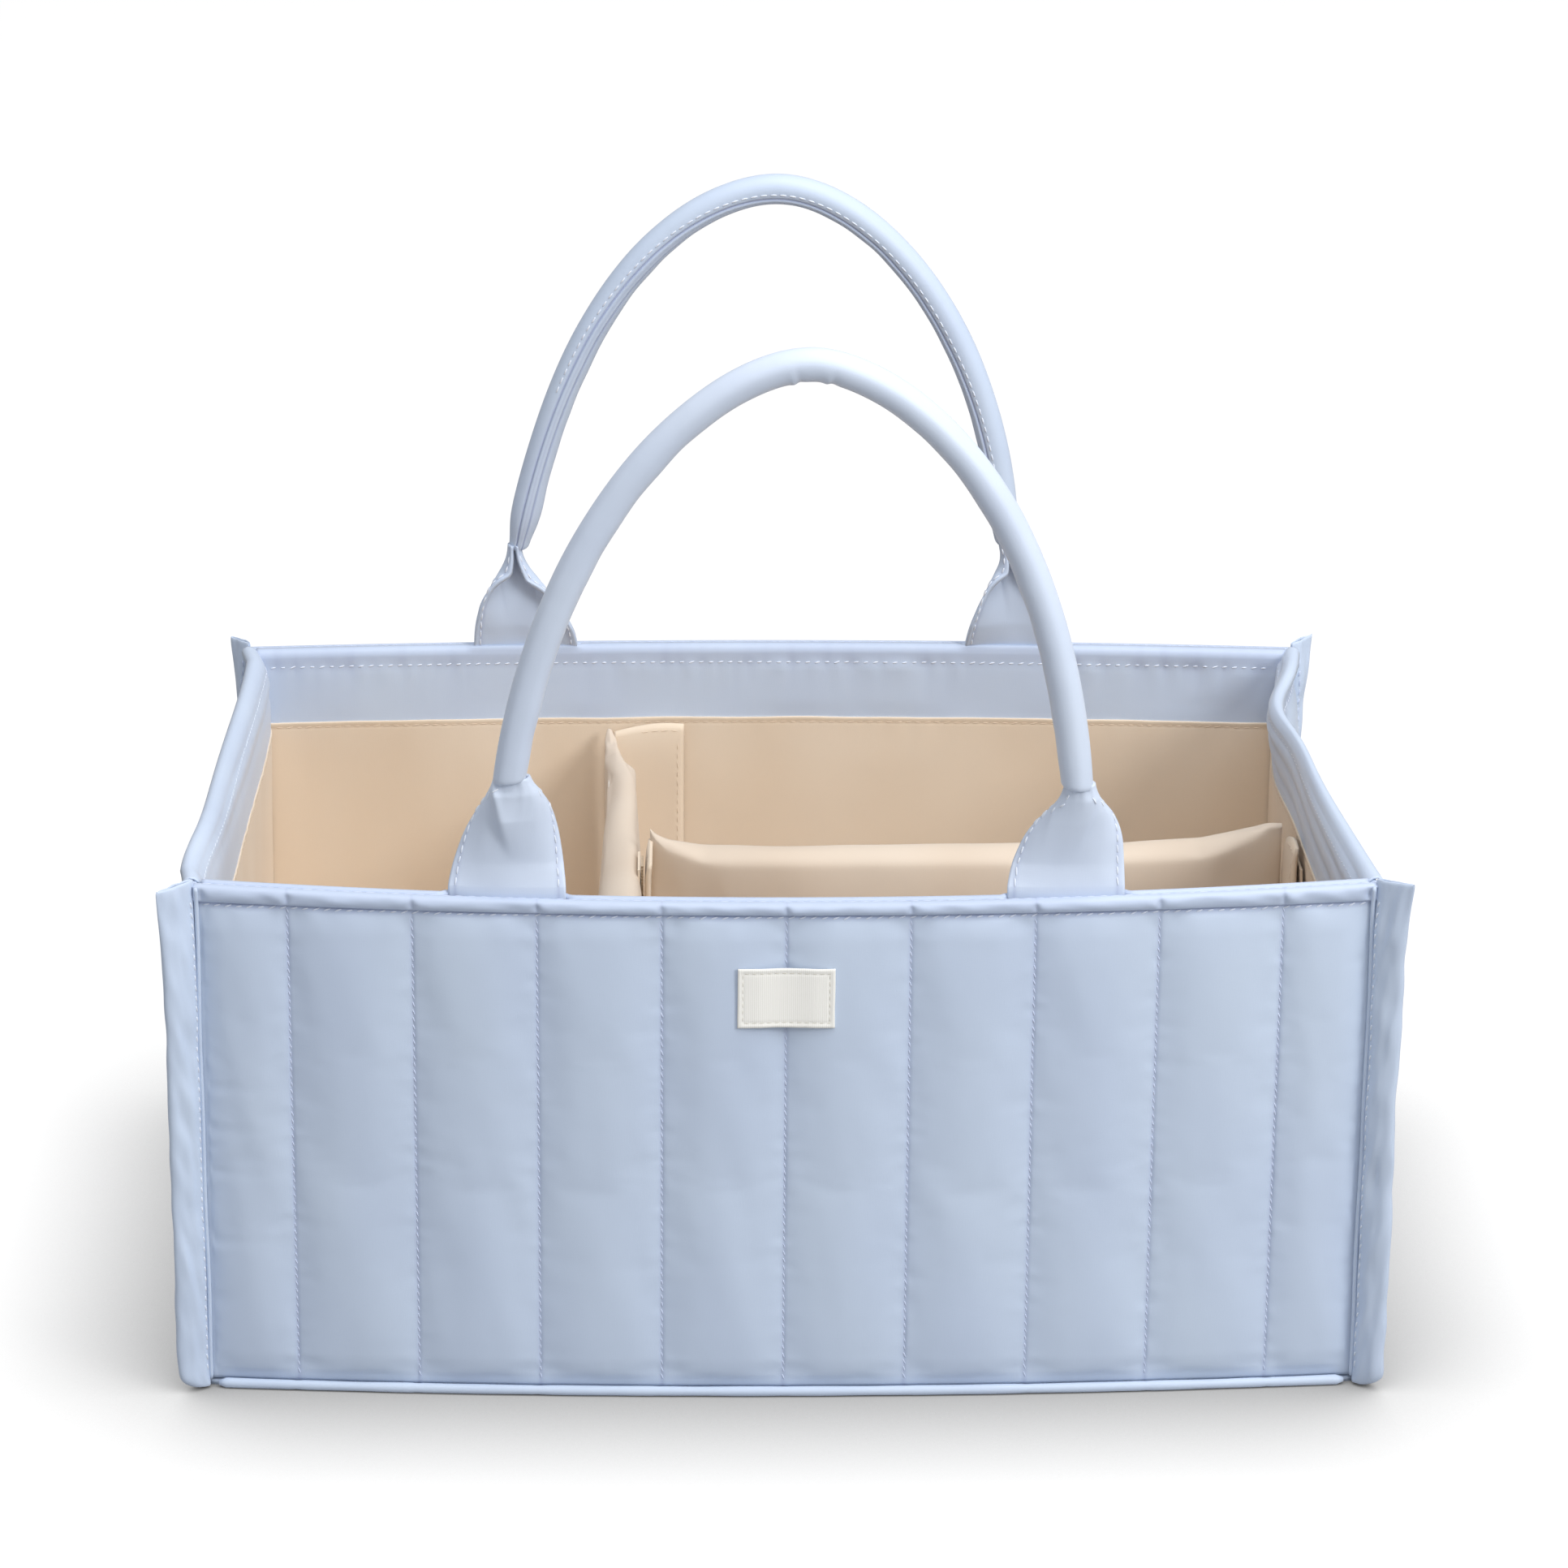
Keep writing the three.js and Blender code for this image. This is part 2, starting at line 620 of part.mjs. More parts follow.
// The long divider runs from the cross divider to the right wall. It stops short of that wall by
// the rim's lean, because it has to pass the rim when it is lifted out.
const sideLoopFace = crossPlace + dividerThickness / 2 + seat + tapeThickness;
const longLeft = sideLoopFace + seat + flapDepth + seat;
const rimFace = boxLength / 2 - rightRimDip - facingIn;
const longRight = rimFace - 2 * seat - flapDepth - seat;
const longLength = longRight - longLeft;
const long = new THREE.Group();
long.position.set((longLeft + longRight) / 2, longPlace, 0);
long.rotation.z = -quarterTurn;
caddy.add(long);
piece("long_divider_cover", foldedCover(longLength), creamCotton, long);
piece("long_divider_board", dividerBoard(longLength), greyBoard, long);
addFlaps(long, "long_divider", longLength, [["right", 1], ["left", -1]]);
const sideLoop = new THREE.BoxGeometry(tapeThickness, loopWidth, tapeHeight);
piece("cross_divider_loop_tape", sideLoop, creamCotton).position.set(
  sideLoopFace - tapeThickness / 2,
  longPlace - loopLeft - loopWidth / 2,
  (dividerFoot + flapTop) / 2,
);

// The right wall's loop tape follows the wall's lean. Along the right wall, left is the front.
const right = walls[1];
const rightLoop = formedSlab(1, leaningRows, (column, row, outside) => {
  const along = longPlace - loopLeft - loopWidth * (1 - column);
  const z = dividerFoot + tapeMargin + tapeHeight * row / leaningRows;
  const near = liningIn + seat;
  return wallPoint(right, along, outside ? near : near + tapeThickness, z);
});
piece("right_wall_loop_tape", rightLoop, creamCotton, right.group);

export default caddy;
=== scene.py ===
# A quilted nursery caddy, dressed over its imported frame: padded cotton walls, carry handles, pinched
# corners, a cream lining and two lift-out dividers. Metres; +X right, +Y back, +Z up.
import math

import bmesh
import bpy
import numpy as np
from mathutils import Matrix, Vector, noise
from mathutils.bvhtree import BVHTree


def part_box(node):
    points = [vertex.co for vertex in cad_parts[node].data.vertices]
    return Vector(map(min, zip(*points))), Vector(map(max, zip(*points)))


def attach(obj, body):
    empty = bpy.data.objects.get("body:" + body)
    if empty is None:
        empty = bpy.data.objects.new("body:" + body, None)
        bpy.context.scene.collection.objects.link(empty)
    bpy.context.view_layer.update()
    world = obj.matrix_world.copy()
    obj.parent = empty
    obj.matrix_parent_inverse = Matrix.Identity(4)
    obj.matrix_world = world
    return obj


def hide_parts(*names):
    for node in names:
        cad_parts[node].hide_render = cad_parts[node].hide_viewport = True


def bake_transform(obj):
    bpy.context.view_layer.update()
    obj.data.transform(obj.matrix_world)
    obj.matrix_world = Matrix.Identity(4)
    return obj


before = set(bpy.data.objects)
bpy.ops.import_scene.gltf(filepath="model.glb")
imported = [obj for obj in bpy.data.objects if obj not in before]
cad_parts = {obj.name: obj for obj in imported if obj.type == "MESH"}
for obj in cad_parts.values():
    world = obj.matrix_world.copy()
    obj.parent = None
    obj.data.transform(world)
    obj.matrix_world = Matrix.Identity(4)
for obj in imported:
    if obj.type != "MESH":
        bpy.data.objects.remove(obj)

mm = 0.001
scene = bpy.context.scene
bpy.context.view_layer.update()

# Camera: a long lens a little to the left of the middle, looking down over the front rim. Its place
# was found by fitting the box's corners, seams and grips to the picture.
image_side = 1932
focal_pixels = 6393.44
film_width = 36
looked_at = Vector((1.92, 0, 165.71)) * mm
camera_distance = 1761.05 * mm
camera_swing = math.radians(1.4)
camera_dip = math.radians(19.71)
camera_roll = math.radians(0.46)

camera = bpy.data.objects.new("camera", bpy.data.cameras.new("camera"))
scene.collection.objects.link(camera)
scene.camera = camera
camera.data.sensor_width = film_width
camera.data.lens = focal_pixels / image_side * film_width
view_along = Vector((
    math.sin(camera_swing) * math.cos(camera_dip),
    math.cos(camera_swing) * math.cos(camera_dip),
    -math.sin(camera_dip),
))
level_right = view_along.cross(Vector((0, 0, 1))).normalized()
level_up = level_right.cross(view_along)
camera_right = level_right * math.cos(camera_roll) + level_up * math.sin(camera_roll)
camera_up = level_up * math.cos(camera_roll) - level_right * math.sin(camera_roll)
camera_axes = Matrix((camera_right, camera_up, -view_along)).transposed()
camera.matrix_world = Matrix.Translation(looked_at - view_along * camera_distance) @ camera_axes.to_4x4()


# Studio: a wide soft lamp overhead, one on the right, a weak one on the left, an even pale room, and
# a white floor that keeps the caddy's shadow and deepens it where the caddy stands close.
class Value:
    """A number that changes over a surface. Arithmetic on it adds Math nodes."""

    def __init__(self, finish, socket):
        self.finish = finish
        self.socket = socket

    def math(self, operation, *inputs):
        return self.finish.node("ShaderNodeMath", {"operation": operation}, inputs)

    def __add__(self, other):
        return self.math("ADD", self, other)

    def __sub__(self, other):
        return self.math("SUBTRACT", self, other)

    def __rsub__(self, other):
        return self.math("SUBTRACT", other, self)

    def __mul__(self, other):
        return self.math("MULTIPLY", self, other)

    def __pow__(self, other):
        return self.math("POWER", self, other)

    __radd__ = __add__
    __rmul__ = __mul__


class Finish:
    """A material for one slot of the record, and the one method that adds nodes to it."""

    def __init__(self, name, slot=None):
        self.slot = slot
        self.material = bpy.data.materials.new(name)
        self.material.use_nodes = True
        self.tree = self.material.node_tree
        self.shader = self.tree.nodes["Principled BSDF"]
        self.output = self.tree.nodes["Material Output"]

    def node(self, kind, settings=None, inputs=(), output=0):
        """Adds a node, sets it, joins or fills its inputs, and gives the output asked for."""
        made = self.tree.nodes.new(kind)
        for name, setting in (settings or {}).items():
            setattr(made, name, setting)
        for key, given in inputs.items() if isinstance(inputs, dict) else enumerate(inputs):
            self.fill(made.inputs[key], given)
        return Value(self, made.outputs[output])

    def fill(self, socket, given):
        if isinstance(given, Value):
            self.tree.links.new(given.socket, socket)
        elif given is not None:
            socket.default_value = given

    def shade(self, **sockets):
        """Sets the shader's sockets, named as Base_Color for Base Color."""
        for name, given in sockets.items():
            self.fill(self.shader.inputs[name.replace("_", " ")], given)

    def on_object(self):
        return self.node("ShaderNodeTexCoord", output="Object")

    def noise(self, place, scale, detail=2, roughness=0.5):
        inputs = {"Vector": place, "Scale": scale, "Detail": detail, "Roughness": roughness}
        return self.node("ShaderNodeTexNoise", None, inputs, "Fac")

    def stretched(self, place, stretch):
        return self.node("ShaderNodeVectorMath", {"operation": "MULTIPLY"}, [place, stretch])

    def blend(self, share, first, second):
        inputs = {"Factor": share, 6: first, 7: second}
        return self.node("ShaderNodeMix", {"data_type": "RGBA"}, inputs, 2)

    def bump(self, height, distance, strength=1, under=None):
        inputs = {"Height": height, "Distance": distance, "Strength": strength, "Normal": under}
        return self.node("ShaderNodeBump", None, inputs, "Normal")


def painted(red, green, blue):
    """The linear colour of a colour written as it shows, from 0 to 255."""
    channels = np.array([red, green, blue]) / 255
    return (*np.where(channels > 0.04045, ((channels + 0.055) / 1.055) ** 2.4, channels / 12.92), 1)


# Each lamp's place and width in metres, its power in watts and its colour.
lamps = {
    "overhead_lamp": ((0.3, -0.4, 1.9), 1.5, 25, (1, 0.99, 0.98)),
    "key_lamp": ((1.5, -1.35, 1.35), 0.9, 25, (1, 0.99, 0.97)),
    "fill_lamp": ((-1.6, -1.9, 1.3), 1.4, 3, (0.95, 0.97, 1)),
}
for name, (place, size, power, colour) in lamps.items():
    light = bpy.data.objects.new(name, bpy.data.lights.new(name, "AREA"))
    light.data.shape = "DISK"
    light.data.size = size
    light.data.energy = power
    light.data.color = colour
    light.location = place
    light.rotation_euler = (looked_at - Vector(place)).to_track_quat("-Z", "Y").to_euler()
    scene.collection.objects.link(light)

room = bpy.data.worlds.new("studio")
room.use_nodes = True
room.node_tree.nodes["Background"].inputs["Color"].default_value = (0.97, 0.98, 1, 1)
room.node_tree.nodes["Background"].inputs["Strength"].default_value = 0.42
scene.world = room
scene.view_settings.view_transform = "Standard"

floor_reach = 12
shadow_reach = 85 * mm
floor_form = bmesh.new()
bmesh.ops.create_grid(floor_form, x_segments=1, y_segments=1, size=floor_reach)
floor_mesh = bpy.data.meshes.new("floor")
floor_form.to_mesh(floor_mesh)
studio_floor = bpy.data.objects.new("floor", floor_mesh)
scene.collection.objects.link(studio_floor)
floor_finish = Finish("floor_paper")
# Seen by the camera the floor glows white, dimmed by ambient occlusion near the caddy: a painted shadow on
# top of the lamps' own.
seen = floor_finish.node("ShaderNodeLightPath", None, (), "Is Camera Ray")
near_things = {"samples": 12}
openness = floor_finish.node("ShaderNodeAmbientOcclusion", near_things, {"Distance": shadow_reach}, "AO")
floor_finish.shade(
    Base_Color=floor_finish.blend(seen, (0.38, 0.38, 0.38, 1), (0.13, 0.13, 0.13, 1)),
    Roughness=1,
    Specular_IOR_Level=0,
    Emission_Color=floor_finish.blend(seen * openness**1.35, (0, 0, 0, 1), (1, 1, 1, 1)),
    Emission_Strength=0.93,
)
floor_mesh.materials.append(floor_finish.material)


# Walls: four quilted panels of satin cotton over wadding, sewn down in upright channels, rolled over
# the rim and hemmed. The front and back belly out, and the side rims fall inward.
box_length = 376 * mm
box_depth = 240 * mm
box_height = 175 * mm
hem_depth = 8 * mm
hem_line = box_height - hem_depth
wall_bow = 8 * mm
left_rim_dip = 0.7 * mm
left_rim_waves = [(-3.1 * mm, -95 * mm, 75 * mm), (2.4 * mm, 95 * mm, 30 * mm)]
right_rim_dip = 6 * mm
rim_pinch = 7.2 * mm
rim_pinch_place = 56 * mm
rim_pinch_reach = 32 * mm
right_rim_thinning = 2.4 * mm
thinning_reach = 62 * mm
corner_reach = 15 * mm
facing_inward = 5.3 * mm
front_hem_rise = 2.4 * mm
front_hem_sag = 1.9 * mm
front_crest_rise = 0.3 * mm
front_crest_sag = 3.6 * mm
half_turn = math.pi


def capped(share):
    return np.clip(share, 0, 1)


def hump(away):
    """A smooth rise to 1 where the place is, and about a third of it at a reach of 1 away."""
    return np.exp(-(away**2))


def grid(along, up):
    return np.meshgrid(along, up, indexing="ij")


def belly(along, length):
    return 1 - (2 * along / length) ** 2


def bowed(along, z):
    return wall_bow * belly(along, box_length)


def left_dip(along, z):
    waves = sum(out * hump((along - place) / reach) for out, place, reach in left_rim_waves)
    from_corner = capped((box_depth / 2 - np.abs(along)) / corner_reach)
    return (waves * from_corner - left_rim_dip * belly(along, box_depth)) * (z / box_height) ** 2


def right_dip(along, z):
    pinch = rim_pinch * hump((along - rim_pinch_place) / rim_pinch_reach)
    lean = right_rim_dip * (z / box_height) ** 2 * belly(along, box_depth)
    return -lean - pinch * capped(z / box_height) ** 5


def level(along, z):
    return 0


def right_thinning(along, z):
    """How far the outside of the right rim lies nearer to its facing than a full wall's."""
    return right_rim_thinning * hump(along / thinning_reach) * capped(z / box_height) ** 4


def front_lift(along, z):
    """How far the cloth of the front wall is raised: its rim is sewn low in the middle, and flatter."""
    middle = belly(along, box_length)
    at_hem = front_hem_rise - front_hem_sag * middle
    at_crest = front_crest_rise - front_crest_sag * middle
    over_hem = capped((z - hem_line) / hem_depth)
    up_face = capped(z / hem_line) ** 6
    return at_hem * up_face + (at_crest - at_hem) * over_hem


class Wall:
    """A wall of the box, with the turn that brings the front wall onto it."""

    def __init__(self, name, turn, length, reach, bulge, lift=level, thinning=level):
        self.name = name
        self.length = length
        self.reach = reach
        self.bulge = bulge
        self.lift = lift
        self.thinning = thinning
        self.long = length == box_length
        self.turn = np.array(Matrix.Rotation(turn, 3, "Z"))

    def place(self, along, inward, z):
        """The point of the caddy at that length along the wall, depth inward from it, and height."""
        along, inward, z = np.broadcast_arrays(along, inward, z)
        outer = np.clip(1 - inward / facing_inward, 0, 2)
        inward = inward + self.thinning(along, z) * outer
        flat = np.stack([along, inward - self.reach - self.bulge(along, z), z + self.lift(along, z)], -1)
        return flat @ self.turn.T


walls = [
    Wall("front", 0, box_length, box_depth / 2, bowed, front_lift),
    Wall("right", half_turn / 2, box_depth, box_length / 2, right_dip, thinning=right_thinning),
    Wall("back", half_turn, box_length, box_depth / 2, bowed),
    Wall("left", -half_turn / 2, box_depth, box_length / 2, left_dip),
]
front_wall, right_wall, back_wall, left_wall = walls


def woven(points, crease=None, round_up=False):
    """A cloth mesh through a grid of points, with its UV map in metres along and up the cloth.

    Where a crease is given, from 0 to 1 at each point, that much painted shade is put on the cloth there.
    """
    steps_along, steps_up = points.shape[0] - 1, points.shape[1] - 1
    form = bmesh.new()
    cloth_map = form.loops.layers.uv.new("cloth")
    # The crease layer holds how much painted shade each point of the cloth gets.
    shade_layer = form.verts.layers.float.new("crease")
    bmesh.ops.create_grid(form, x_segments=steps_along, y_segments=steps_up, size=0.5)
    gaps_along = np.linalg.norm(np.diff(points, axis=0), axis=2).mean(axis=1)
    gaps_up = np.linalg.norm(np.diff(points, axis=1), axis=2).mean(axis=0)
    run_along = np.concatenate([[0], np.cumsum(gaps_along)])
    run_up = np.concatenate([[0], np.cumsum(gaps_up)])
    for vert in form.verts:
        column = round((vert.co.x + 0.5) * steps_along)
        row = round((vert.co.y + 0.5) * steps_up)
        vert.co = points[column, row]
        vert[shade_layer] = 0 if crease is None else crease[column, row]
        for loop in vert.link_loops:
            loop[cloth_map].uv = (run_along[column], run_up[row])
    if round_up:
        bmesh.ops.remove_doubles(form, verts=form.verts, dist=0.001 * mm)
    return form


def close_ends(form):
    """Fills the open ends of a tube of cloth and turns its faces outward."""
    open_edges = [edge for edge in form.edges if edge.is_boundary]
    caps = bmesh.ops.holes_fill(form, edges=open_edges, sides=0)["faces"]
    bmesh.ops.triangulate(form, faces=caps)
    bmesh.ops.recalc_face_normals(form, faces=form.faces)


def finished(name, form, finish, body=None, stands_for=()):
    """Makes the piece from its form, gives it its finish, and hands it to a body of the frame."""
    mesh = bpy.data.meshes.new(name)
    form.to_mesh(mesh)
    form.free()
    mesh.shade_smooth()
    mesh.materials.append(finish.material)
    piece = bpy.data.objects.new(name, mesh)
    scene.collection.objects.link(piece)
    if body:
        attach(piece, body)
    if stands_for:
        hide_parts(*stands_for)
    return piece


def thickened(piece, thickness):
    """Gives a sheet its thickness, behind the face that shows."""
    shell = piece.modifiers.new("thickness", "SOLIDIFY")
    shell.thickness = thickness
    shell.offset = -1
    return piece


def rounded(piece, levels=1):
    smooth = piece.modifiers.new("smooth", "SUBSURF")
    smooth.levels = levels
    smooth.render_levels = levels
    return piece


def cotton(name, slot, light, dark, painted_shade, sheen, roughness):
    """Fine satin cotton: close threads, a soft sheen, slight unevenness of tone, and painted shade in its
    seams, towards the shade colour, where the crease layer asks for it.
    """
    finish = Finish(name, slot)
    cloth = finish.node("ShaderNodeUVMap", {"uv_map": "cloth"})
    # The crease attribute is painted shade: the colour is blended towards the shade colour by it.
    crease = finish.node("ShaderNodeAttribute", {"attribute_name": "crease"}, (), "Fac")
    warp = finish.noise(finish.stretched(cloth, (5200, 260, 1)), 1)
    weft = finish.noise(finish.stretched(cloth, (260, 5200, 1)), 1)
    crumple = finish.noise(finish.stretched(cloth, (60, 30, 1)), 1, detail=2)
    tone = finish.noise(finish.stretched(cloth, (26, 11, 1)), 1, detail=1)
    uneven = finish.node("ShaderNodeClamp", None, [tone * 0.9 + warp * 0.14 + weft * 0.12 - 0.1])
    weave = finish.bump(warp + weft, 0.05 * mm, 0.35)
    finish.shade(
        Base_Color=finish.blend(crease * 0.75, finish.blend(uneven, dark, light), painted_shade),
        Roughness=roughness + warp * 0.1 - weft * 0.05,
        Specular_IOR_Level=0.4,
        Sheen_Weight=sheen,
        Sheen_Roughness=0.35,
        Normal=finish.bump(crumple, 0.9 * mm, 0.3, weave),
    )
    return finish


blue_slot = "periwinkle_cotton"
# The third blue is the painted shade colour for seams, grooves and rolls.
blue_light, blue_dark, blue_painted_shade = painted(204, 218, 236), painted(192, 206, 230), painted(150, 161, 197)
# A lighter copy of the blue cotton, painted light, for the front grip and its tabs: the same strip as the
# back handle's.
lit_blue_light, lit_blue_dark = painted(214, 225, 241), painted(203, 215, 236)
blue_cotton = cotton("periwinkle_cotton", blue_slot, blue_light, blue_dark, blue_painted_shade, 0.25, 0.45)
lit_blue_cotton = cotton("pale_periwinkle_cotton", blue_slot, lit_blue_light, lit_blue_dark, blue_painted_shade, 0.25, 0.45)

# Wadding: the cloth between the seams is swollen by a short cloth simulation on the flat panel, and
# gathered a little where it is sewn to the hem and to the corner.
foot = 1.8 * mm
piping_top = 5 * mm
quilt_pitch = 39.5 * mm
seam_margin = 2.6 * mm
backing = 2.2 * mm
backing_rows = 9
stitch_pitch = 2.6 * mm
row_pitch = 1.6 * mm
quilt_loft = 3.1 * mm
rim_swell = 3 * mm
side_rim_share = 0.55
groove_inward = 2.1 * mm
groove_drop = 0.6 * mm
rim_steps = 12
quilt_pressure = 2.8
quilt_spare = 0.003
cloth_stiffness = 2
swell_frames = 20
seam_width = 0.8 * mm
evening_reach = 9 * mm
evening_share = 0.75
half_channel_shares = [0, 0.012, 0.03, 0.06, 0.11, 0.18, 0.26, 0.35, 0.45]
channel_shares = [*half_channel_shares, *(1 - share for share in half_channel_shares[:0:-1])]
corner_creases = [(0.44, -0.03), (0.52, 0.04), (0.61, -0.05), (0.3, 0.02)]


def channel_seams(length):
    """Where the quilting is sewn down along a wall, from end to end."""
    end = length / 2 - seam_margin
    count = int((end - quilt_pitch / 4) / quilt_pitch)
    return [-end, *(quilt_pitch * step for step in range(-count, count + 1)), end]


def quilt_columns(length):
    """Places along the panel, closest beside the seams, and how far each is across its channel."""
    seams = channel_seams(length)
    columns = [(-length / 2, 0)]
    for left, right in zip(seams, seams[1:]):
        columns += [(left + (right - left) * share, share) for share in channel_shares]
    columns += [(seams[-1], 0), (length / 2, 0)]
    return np.array(columns)


def bezier(pulls, t):
    t = t[:, None]
    weights = np.hstack([(1 - t) ** 3, 3 * (1 - t) ** 2 * t, 3 * (1 - t) * t**2, t**3])
    return weights @ np.array(pulls)


def rim_section():
    """The rolled rim in section, from the hem stitching over the crest to the groove behind it."""
    pulls = [
        (0, hem_line),
        (-rim_swell * 1.25, hem_line - hem_depth * 0.02),
        (-rim_swell * 1.05, box_height + hem_depth * 0.42),
        (groove_inward, box_height - groove_drop),
    ]
    return bezier(pulls, np.linspace(0, 1, rim_steps + 1)[1:])


def swollen(form, held, pressure, spare):
    """Runs the cloth simulation: the held points stay sewn, the rest swells. Gives the new places."""
    mesh = bpy.data.meshes.new("wadding")
    form.to_mesh(mesh)
    form.free()
    cloth = bpy.data.objects.new("wadding", mesh)
    scene.collection.objects.link(cloth)
    sewn = cloth.vertex_groups.new(name="sewn")
    sewn.add([int(index) for index in np.flatnonzero(held)], 1, "REPLACE")
    swell = cloth.modifiers.new("swell", "CLOTH")
    swell.settings.quality = 5
    swell.settings.mass = 0.1
    swell.settings.tension_stiffness = 15
    swell.settings.compression_stiffness = 15
    swell.settings.shear_stiffness = 5
    swell.settings.bending_stiffness = cloth_stiffness
    swell.settings.use_pressure = True
    swell.settings.uniform_pressure_force = pressure
    swell.settings.shrink_min = -spare
    swell.settings.vertex_group_mass = "sewn"
    swell.settings.effector_weights.gravity = 0
    swell.collision_settings.use_collision = False
    for number in range(swell_frames):
        scene.frame_set(number + 1)
    made = cloth.evaluated_get(bpy.context.evaluated_depsgraph_get()).data
    places = np.array([vert.co for vert in made.vertices])
    scene.frame_set(1)
    bpy.data.objects.remove(cloth)
    return places


def ripples(along, z, size, shift):
    """Uneven hang of a cloth: a smooth noise from -1 to 1, half as busy upward as along."""
    places = zip(along.ravel() / size, z.ravel() / size * 0.5)
    return np.array([noise.noise(Vector((a, b, shift))) for a, b in places]).reshape(along.shape)


def flat_quilt(length):
    """A quilted panel laid flat: along, inward and up, from its foot to the groove behind the rim."""
    columns = quilt_columns(length)
    lower = [(0, foot), *((0, z) for z in np.arange(piping_top, hem_line, row_pitch)), (0, hem_line)]
    section = np.vstack([lower, rim_section()])
    on_face = np.arange(len(section)) < len(lower)
    rise = capped((section[:, 1] - piping_top) / (hem_line - piping_top))
    ends = capped(rise / 0.05) ** 0.6 * capped((1 - rise) / 0.05) ** 0.6
    puff = (4 * columns[:, 1] * (1 - columns[:, 1])) ** 0.6
    seam = columns[:, 1] == 0
    points = np.empty((len(columns), len(section), 3))
    points[..., 0] = columns[:, 0][:, None]
    points[..., 1] = section[:, 0] - quilt_loft * 0.85 * puff[:, None] * ends * on_face
    points[..., 2] = section[:, 1]
    held = np.zeros(points.shape[:2], bool)
    held[:, :2] = True
    held[:, ~on_face] = True
    held[:, len(lower) - 1] = True
    held[seam, :] = True
    return points, held


def from_seam(along, length):
    return np.min([np.abs(along - seam) for seam in channel_seams(length)], axis=0)


def gathered(points, length, shift):
    """Adds the small creases of sewing: over the rolled rim, under the hem, and beside the corner."""
    along, z = points[..., 0], points[..., 2]
    gap = from_seam(along, length)
    above = capped((z - hem_line) / hem_depth)
    front = points[..., 1] < groove_inward / 2
    at_end = capped(1 - (length / 2 - np.abs(along)) / (75 * mm))
    slanted = along + z * 0.35
    rolled = np.sin(capped(above * 1.15) * half_turn) * front
    sewn_through = 1.1 * mm if length == box_length else 0.3 * mm
    seam_dent = sewn_through * hump(gap / (1 * mm))
    creases = ripples(slanted, z * 0.3, 6 * mm, shift) * (0.8 + 0.6 * at_end) * mm
    creases = creases + ripples(slanted, z, 2.6 * mm, shift + 4) * 0.3 * mm
    pull = np.exp(-np.clip(hem_line - z, 0, None) / (6 * mm)) * (z < hem_line)
    sewn = capped(gap / (4 * mm))
    under = capped((hem_line - z) / (1 * mm)) * (points[..., 1] < 1 * mm)
    gathers = 0.85 * mm * ripples(along, z, 5.5 * mm, shift + 9) * pull * sewn * under
    gathers = gathers + 0.3 * mm * ripples(along + z * 0.15, z * 0.4, 7 * mm, shift + 21) * sewn * under
    beside = np.exp(-gap / (2.6 * mm)) * capped(gap / (0.8 * mm))
    gathers = gathers + 0.5 * mm * ripples(along * 0.3, z * 2, 3.4 * mm, shift + 15) * beside * under
    corner = 0
    for rise, slope in corner_creases:
        line = z - box_height * rise - slope * (along + length / 2)
        fade = np.exp(-((along + length / 2) / (9 * mm)))
        corner = corner + 0.7 * mm * hump(line / (1.7 * mm)) * fade * (points[..., 1] < -0.4 * mm)
    points[..., 1] += rolled * (seam_dent + creases) + gathers + corner
    return points


def quilted(length):
    points, held = flat_quilt(length)
    places = swollen(woven(points), held.T.ravel(), quilt_pressure, quilt_spare)
    places = places.reshape(points.shape[1], points.shape[0], 3).transpose(1, 0, 2)
    rows = np.flatnonzero(points[0, :, 2] < hem_line)
    heights = places[:, rows, 2]
    near = hump((points[0, rows, 2][:, None] - points[0, rows, 2][None, :]) / evening_reach)
    evened = places[:, rows, 1] @ (near / near.sum(axis=0))
    at_ends = capped(np.minimum(heights - piping_top, hem_line - heights) / (10 * mm))
    places[:, rows, 1] += (evened - places[:, rows, 1]) * evening_share * at_ends
    return places


flat_quilts = {length: quilted(length) for length in (box_length, box_depth)}
panels = {}
for number, wall in enumerate(walls):
    face = gathered(flat_quilts[wall.length].copy(), wall.length, 11 * number)
    if not wall.long:
        rolled_out = (face[..., 2] > hem_line) & (face[..., 1] < 0)
        face[..., 1] *= np.where(rolled_out, side_rim_share, 1)
    lining_side = [(backing, z) for z in np.linspace(hem_line, foot, backing_rows)]
    back_section = [(groove_inward, box_height - 3 * mm), *lining_side]
    back = np.empty((face.shape[0], len(back_section) + 1, 3))
    back[..., 0] = face[:, :1, 0]
    back[:, :-1, 1:] = back_section
    back[:, -1] = face[:, 0]
    flat = np.concatenate([face, back], axis=1)
    inner_seams = np.abs(flat[..., 0]) < wall.length / 2 - quilt_pitch / 5
    # Painted shade on the panel: along the inner quilting seams, just under the rolled rim, and over the
    # roll itself.
    seam_shade = hump(from_seam(flat[..., 0], wall.length) / seam_width) * inner_seams
    under_roll_shade = hump((flat[..., 2] - hem_line) / seam_width) * 0.8
    roll_shade = 0.3 * capped((flat[..., 2] - hem_line) / (2 * mm))
    painted_shade = np.maximum(np.maximum(seam_shade * 0.5, under_roll_shade), roll_shade) * (flat[..., 1] < 1 * mm)
    form = woven(wall.place(flat[..., 0], flat[..., 1], flat[..., 2]), painted_shade, round_up=True)
    close_ends(form)
    name = f"{wall.name}_quilted_panel"
    panels[wall.name] = finished(f"{wall.name}_padded_panel", form, blue_cotton, "caddy", [name])
    rounded(panels[wall.name])


